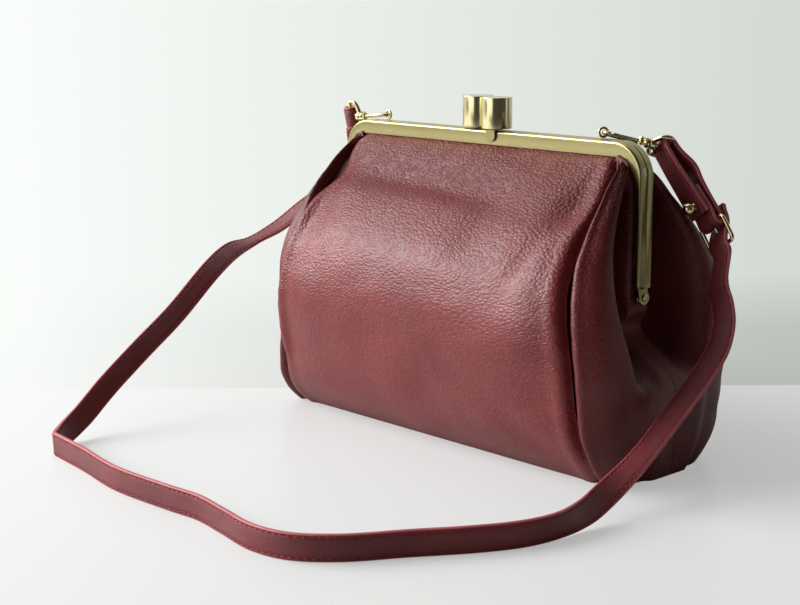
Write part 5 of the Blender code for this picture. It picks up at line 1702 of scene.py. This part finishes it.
def wall_tone(f, direction):
    """The wall's tone, with painted shade that darkens it from left to right of the view."""
    ahead = f.math("MAXIMUM", f.math("ABSOLUTE", share_along(f, direction, AHEAD)), LEAST_AHEAD)
    turn = f.math("DIVIDE", share_along(f, direction, ACROSS), ahead)
    return f.blend(f.spread(turn, -WALL_SPREAD, WALL_SPREAD), WALL_LEFT, WALL_RIGHT)


def table_finish():
    """A white table with lifted shadows. Past its edge it takes the tone of the wall behind."""
    f = Finish("white_table")
    far = share_along(f, f.place, AHEAD)
    from_eye = f.node("ShaderNodeVectorMath", operation="SUBTRACT")
    f.link(f.place, from_eye.inputs[0])
    from_eye.inputs[1].default_value = EYE
    wall = wall_tone(f, from_eye.outputs[0])
    edge = f.spread(far, TABLE_EDGE - TABLE_BLUR, TABLE_EDGE + TABLE_BLUR)
    dimmed = f.blend(1.0, wall, FAR_DIM, "MULTIPLY")
    f.done(f.blend(edge, TABLE_WHITE, dimmed), TABLE_ROUGHNESS, Specular_IOR_Level=TABLE_SHINE)
    glow = f.node("ShaderNodeEmission")
    f.link(f.blend(edge, TABLE_GLOW, wall), glow.inputs["Color"])
    mixed = f.node("ShaderNodeMixShader")
    lifted = f.math("MAXIMUM", f.spread(far, TABLE_EDGE, LIFTED_FROM), SHADOW_LIFT)
    seen = f.node("ShaderNodeLightPath").outputs["Is Camera Ray"]
    f.link(f.math("MULTIPLY", lifted, seen), mixed.inputs[0])
    f.link(f.shader.outputs[0], mixed.inputs[1])
    f.link(glow.outputs[0], mixed.inputs[2])
    f.link(mixed.outputs[0], f.tree.nodes["Material Output"].inputs["Surface"])
    return f.material


def make_stage():
    """One pale floor, laid square to the view."""
    corners = [
        (-FLOOR_SIDE, -FLOOR_FRONT), (FLOOR_SIDE, -FLOOR_FRONT),
        (FLOOR_SIDE, FLOOR_BACK), (-FLOOR_SIDE, FLOOR_BACK),
    ]
    bm = bmesh.new()
    bm.faces.new([bm.verts.new(ACROSS * x + AHEAD * y) for x, y in corners])
    mesh = bpy.data.meshes.new("floor")
    bm.to_mesh(mesh)
    bm.free()
    floor = bpy.data.objects.new("floor", mesh)
    mesh.materials.append(table_finish())
    bpy.context.scene.collection.objects.link(floor)


def area_light(name, place, target, size, power):
    data = bpy.data.lights.new(name, "AREA")
    data.shape = "RECTANGLE"
    data.size, data.size_y = size
    data.energy = power
    lamp = bpy.data.objects.new(name, data)
    lamp.location = place
    lamp.rotation_mode = "QUATERNION"
    lamp.rotation_quaternion = (Vector(target) - Vector(place)).to_track_quat("-Z", "Y")
    bpy.context.scene.collection.objects.link(lamp)


class Room(Finish):
    """The world's node tree, with the same short ways to add nodes."""

    def __init__(self, name):
        self.world = bpy.data.worlds.new(name)
        self.world.use_nodes = True
        self.tree = self.world.node_tree
        self.place = self.node("ShaderNodeTexCoord").outputs["Generated"]


def make_room():
    """A dim room. The camera sees the wall's tone instead, and so in part does what mirrors its far side."""
    room = Room("room")
    bpy.context.scene.world = room.world
    ambient = room.tree.nodes["Background"]
    ambient.inputs["Color"].default_value = AMBIENT
    ambient.inputs["Strength"].default_value = AMBIENT_STRENGTH
    seen = room.node("ShaderNodeBackground")
    room.link(wall_tone(room, room.place), seen.inputs["Color"])
    path = room.node("ShaderNodeLightPath")
    facing = room.spread(share_along(room, room.place, AHEAD), *MIRROR_FACING, 0.0, MIRROR_SHARE)
    mirrored = room.math("MULTIPLY", path.outputs["Is Glossy Ray"], facing)
    either = room.node("ShaderNodeMixShader")
    room.link(room.math("MAXIMUM", path.outputs["Is Camera Ray"], mirrored), either.inputs[0])
    room.link(ambient.outputs[0], either.inputs[1])
    room.link(seen.outputs[0], either.inputs[2])
    room.link(either.outputs[0], room.tree.nodes["World Output"].inputs["Surface"])


def make_light():
    """A large window to the left of the view, a faint screen on each side and a ceiling light."""
    make_room()
    for light in LIGHTS:
        area_light(*light)


def make_camera():
    ahead = AHEAD * cos(LOOK_DOWN) - Vector((0, 0, sin(LOOK_DOWN)))
    up = ACROSS.cross(ahead)
    turned_right = ACROSS * cos(ROLL) + up * sin(ROLL)
    turned_up = up * cos(ROLL) - ACROSS * sin(ROLL)
    data = bpy.data.cameras.new("camera")
    data.sensor_fit = "HORIZONTAL"
    data.lens = FOCAL_SHARE * data.sensor_width
    data.clip_start = 0.01
    camera = bpy.data.objects.new("camera", data)
    turn = Matrix((turned_right, turned_up, -ahead)).transposed().to_4x4()
    camera.matrix_world = Matrix.Translation(EYE) @ turn
    bpy.context.scene.collection.objects.link(camera)
    bpy.context.scene.camera = camera


make_camera()
make_body()
make_frame()
make_clasp()
for hand in ("left", "right"):
    make_eyelet(hand)
    make_hook(hand)
    make_gate(hand)
    make_gate_pin(hand)
    make_eye(hand)
make_tab()
make_stud()
make_buckle()
make_prong()
make_strap()
for node, material in (("base_board", BOARD), ("front_channel_cord", PAPER), ("back_channel_cord", PAPER)):
    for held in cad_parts[node].material_slots:
        held.material = material
make_stage()
make_light()
bpy.context.scene.view_settings.view_transform = "Standard"
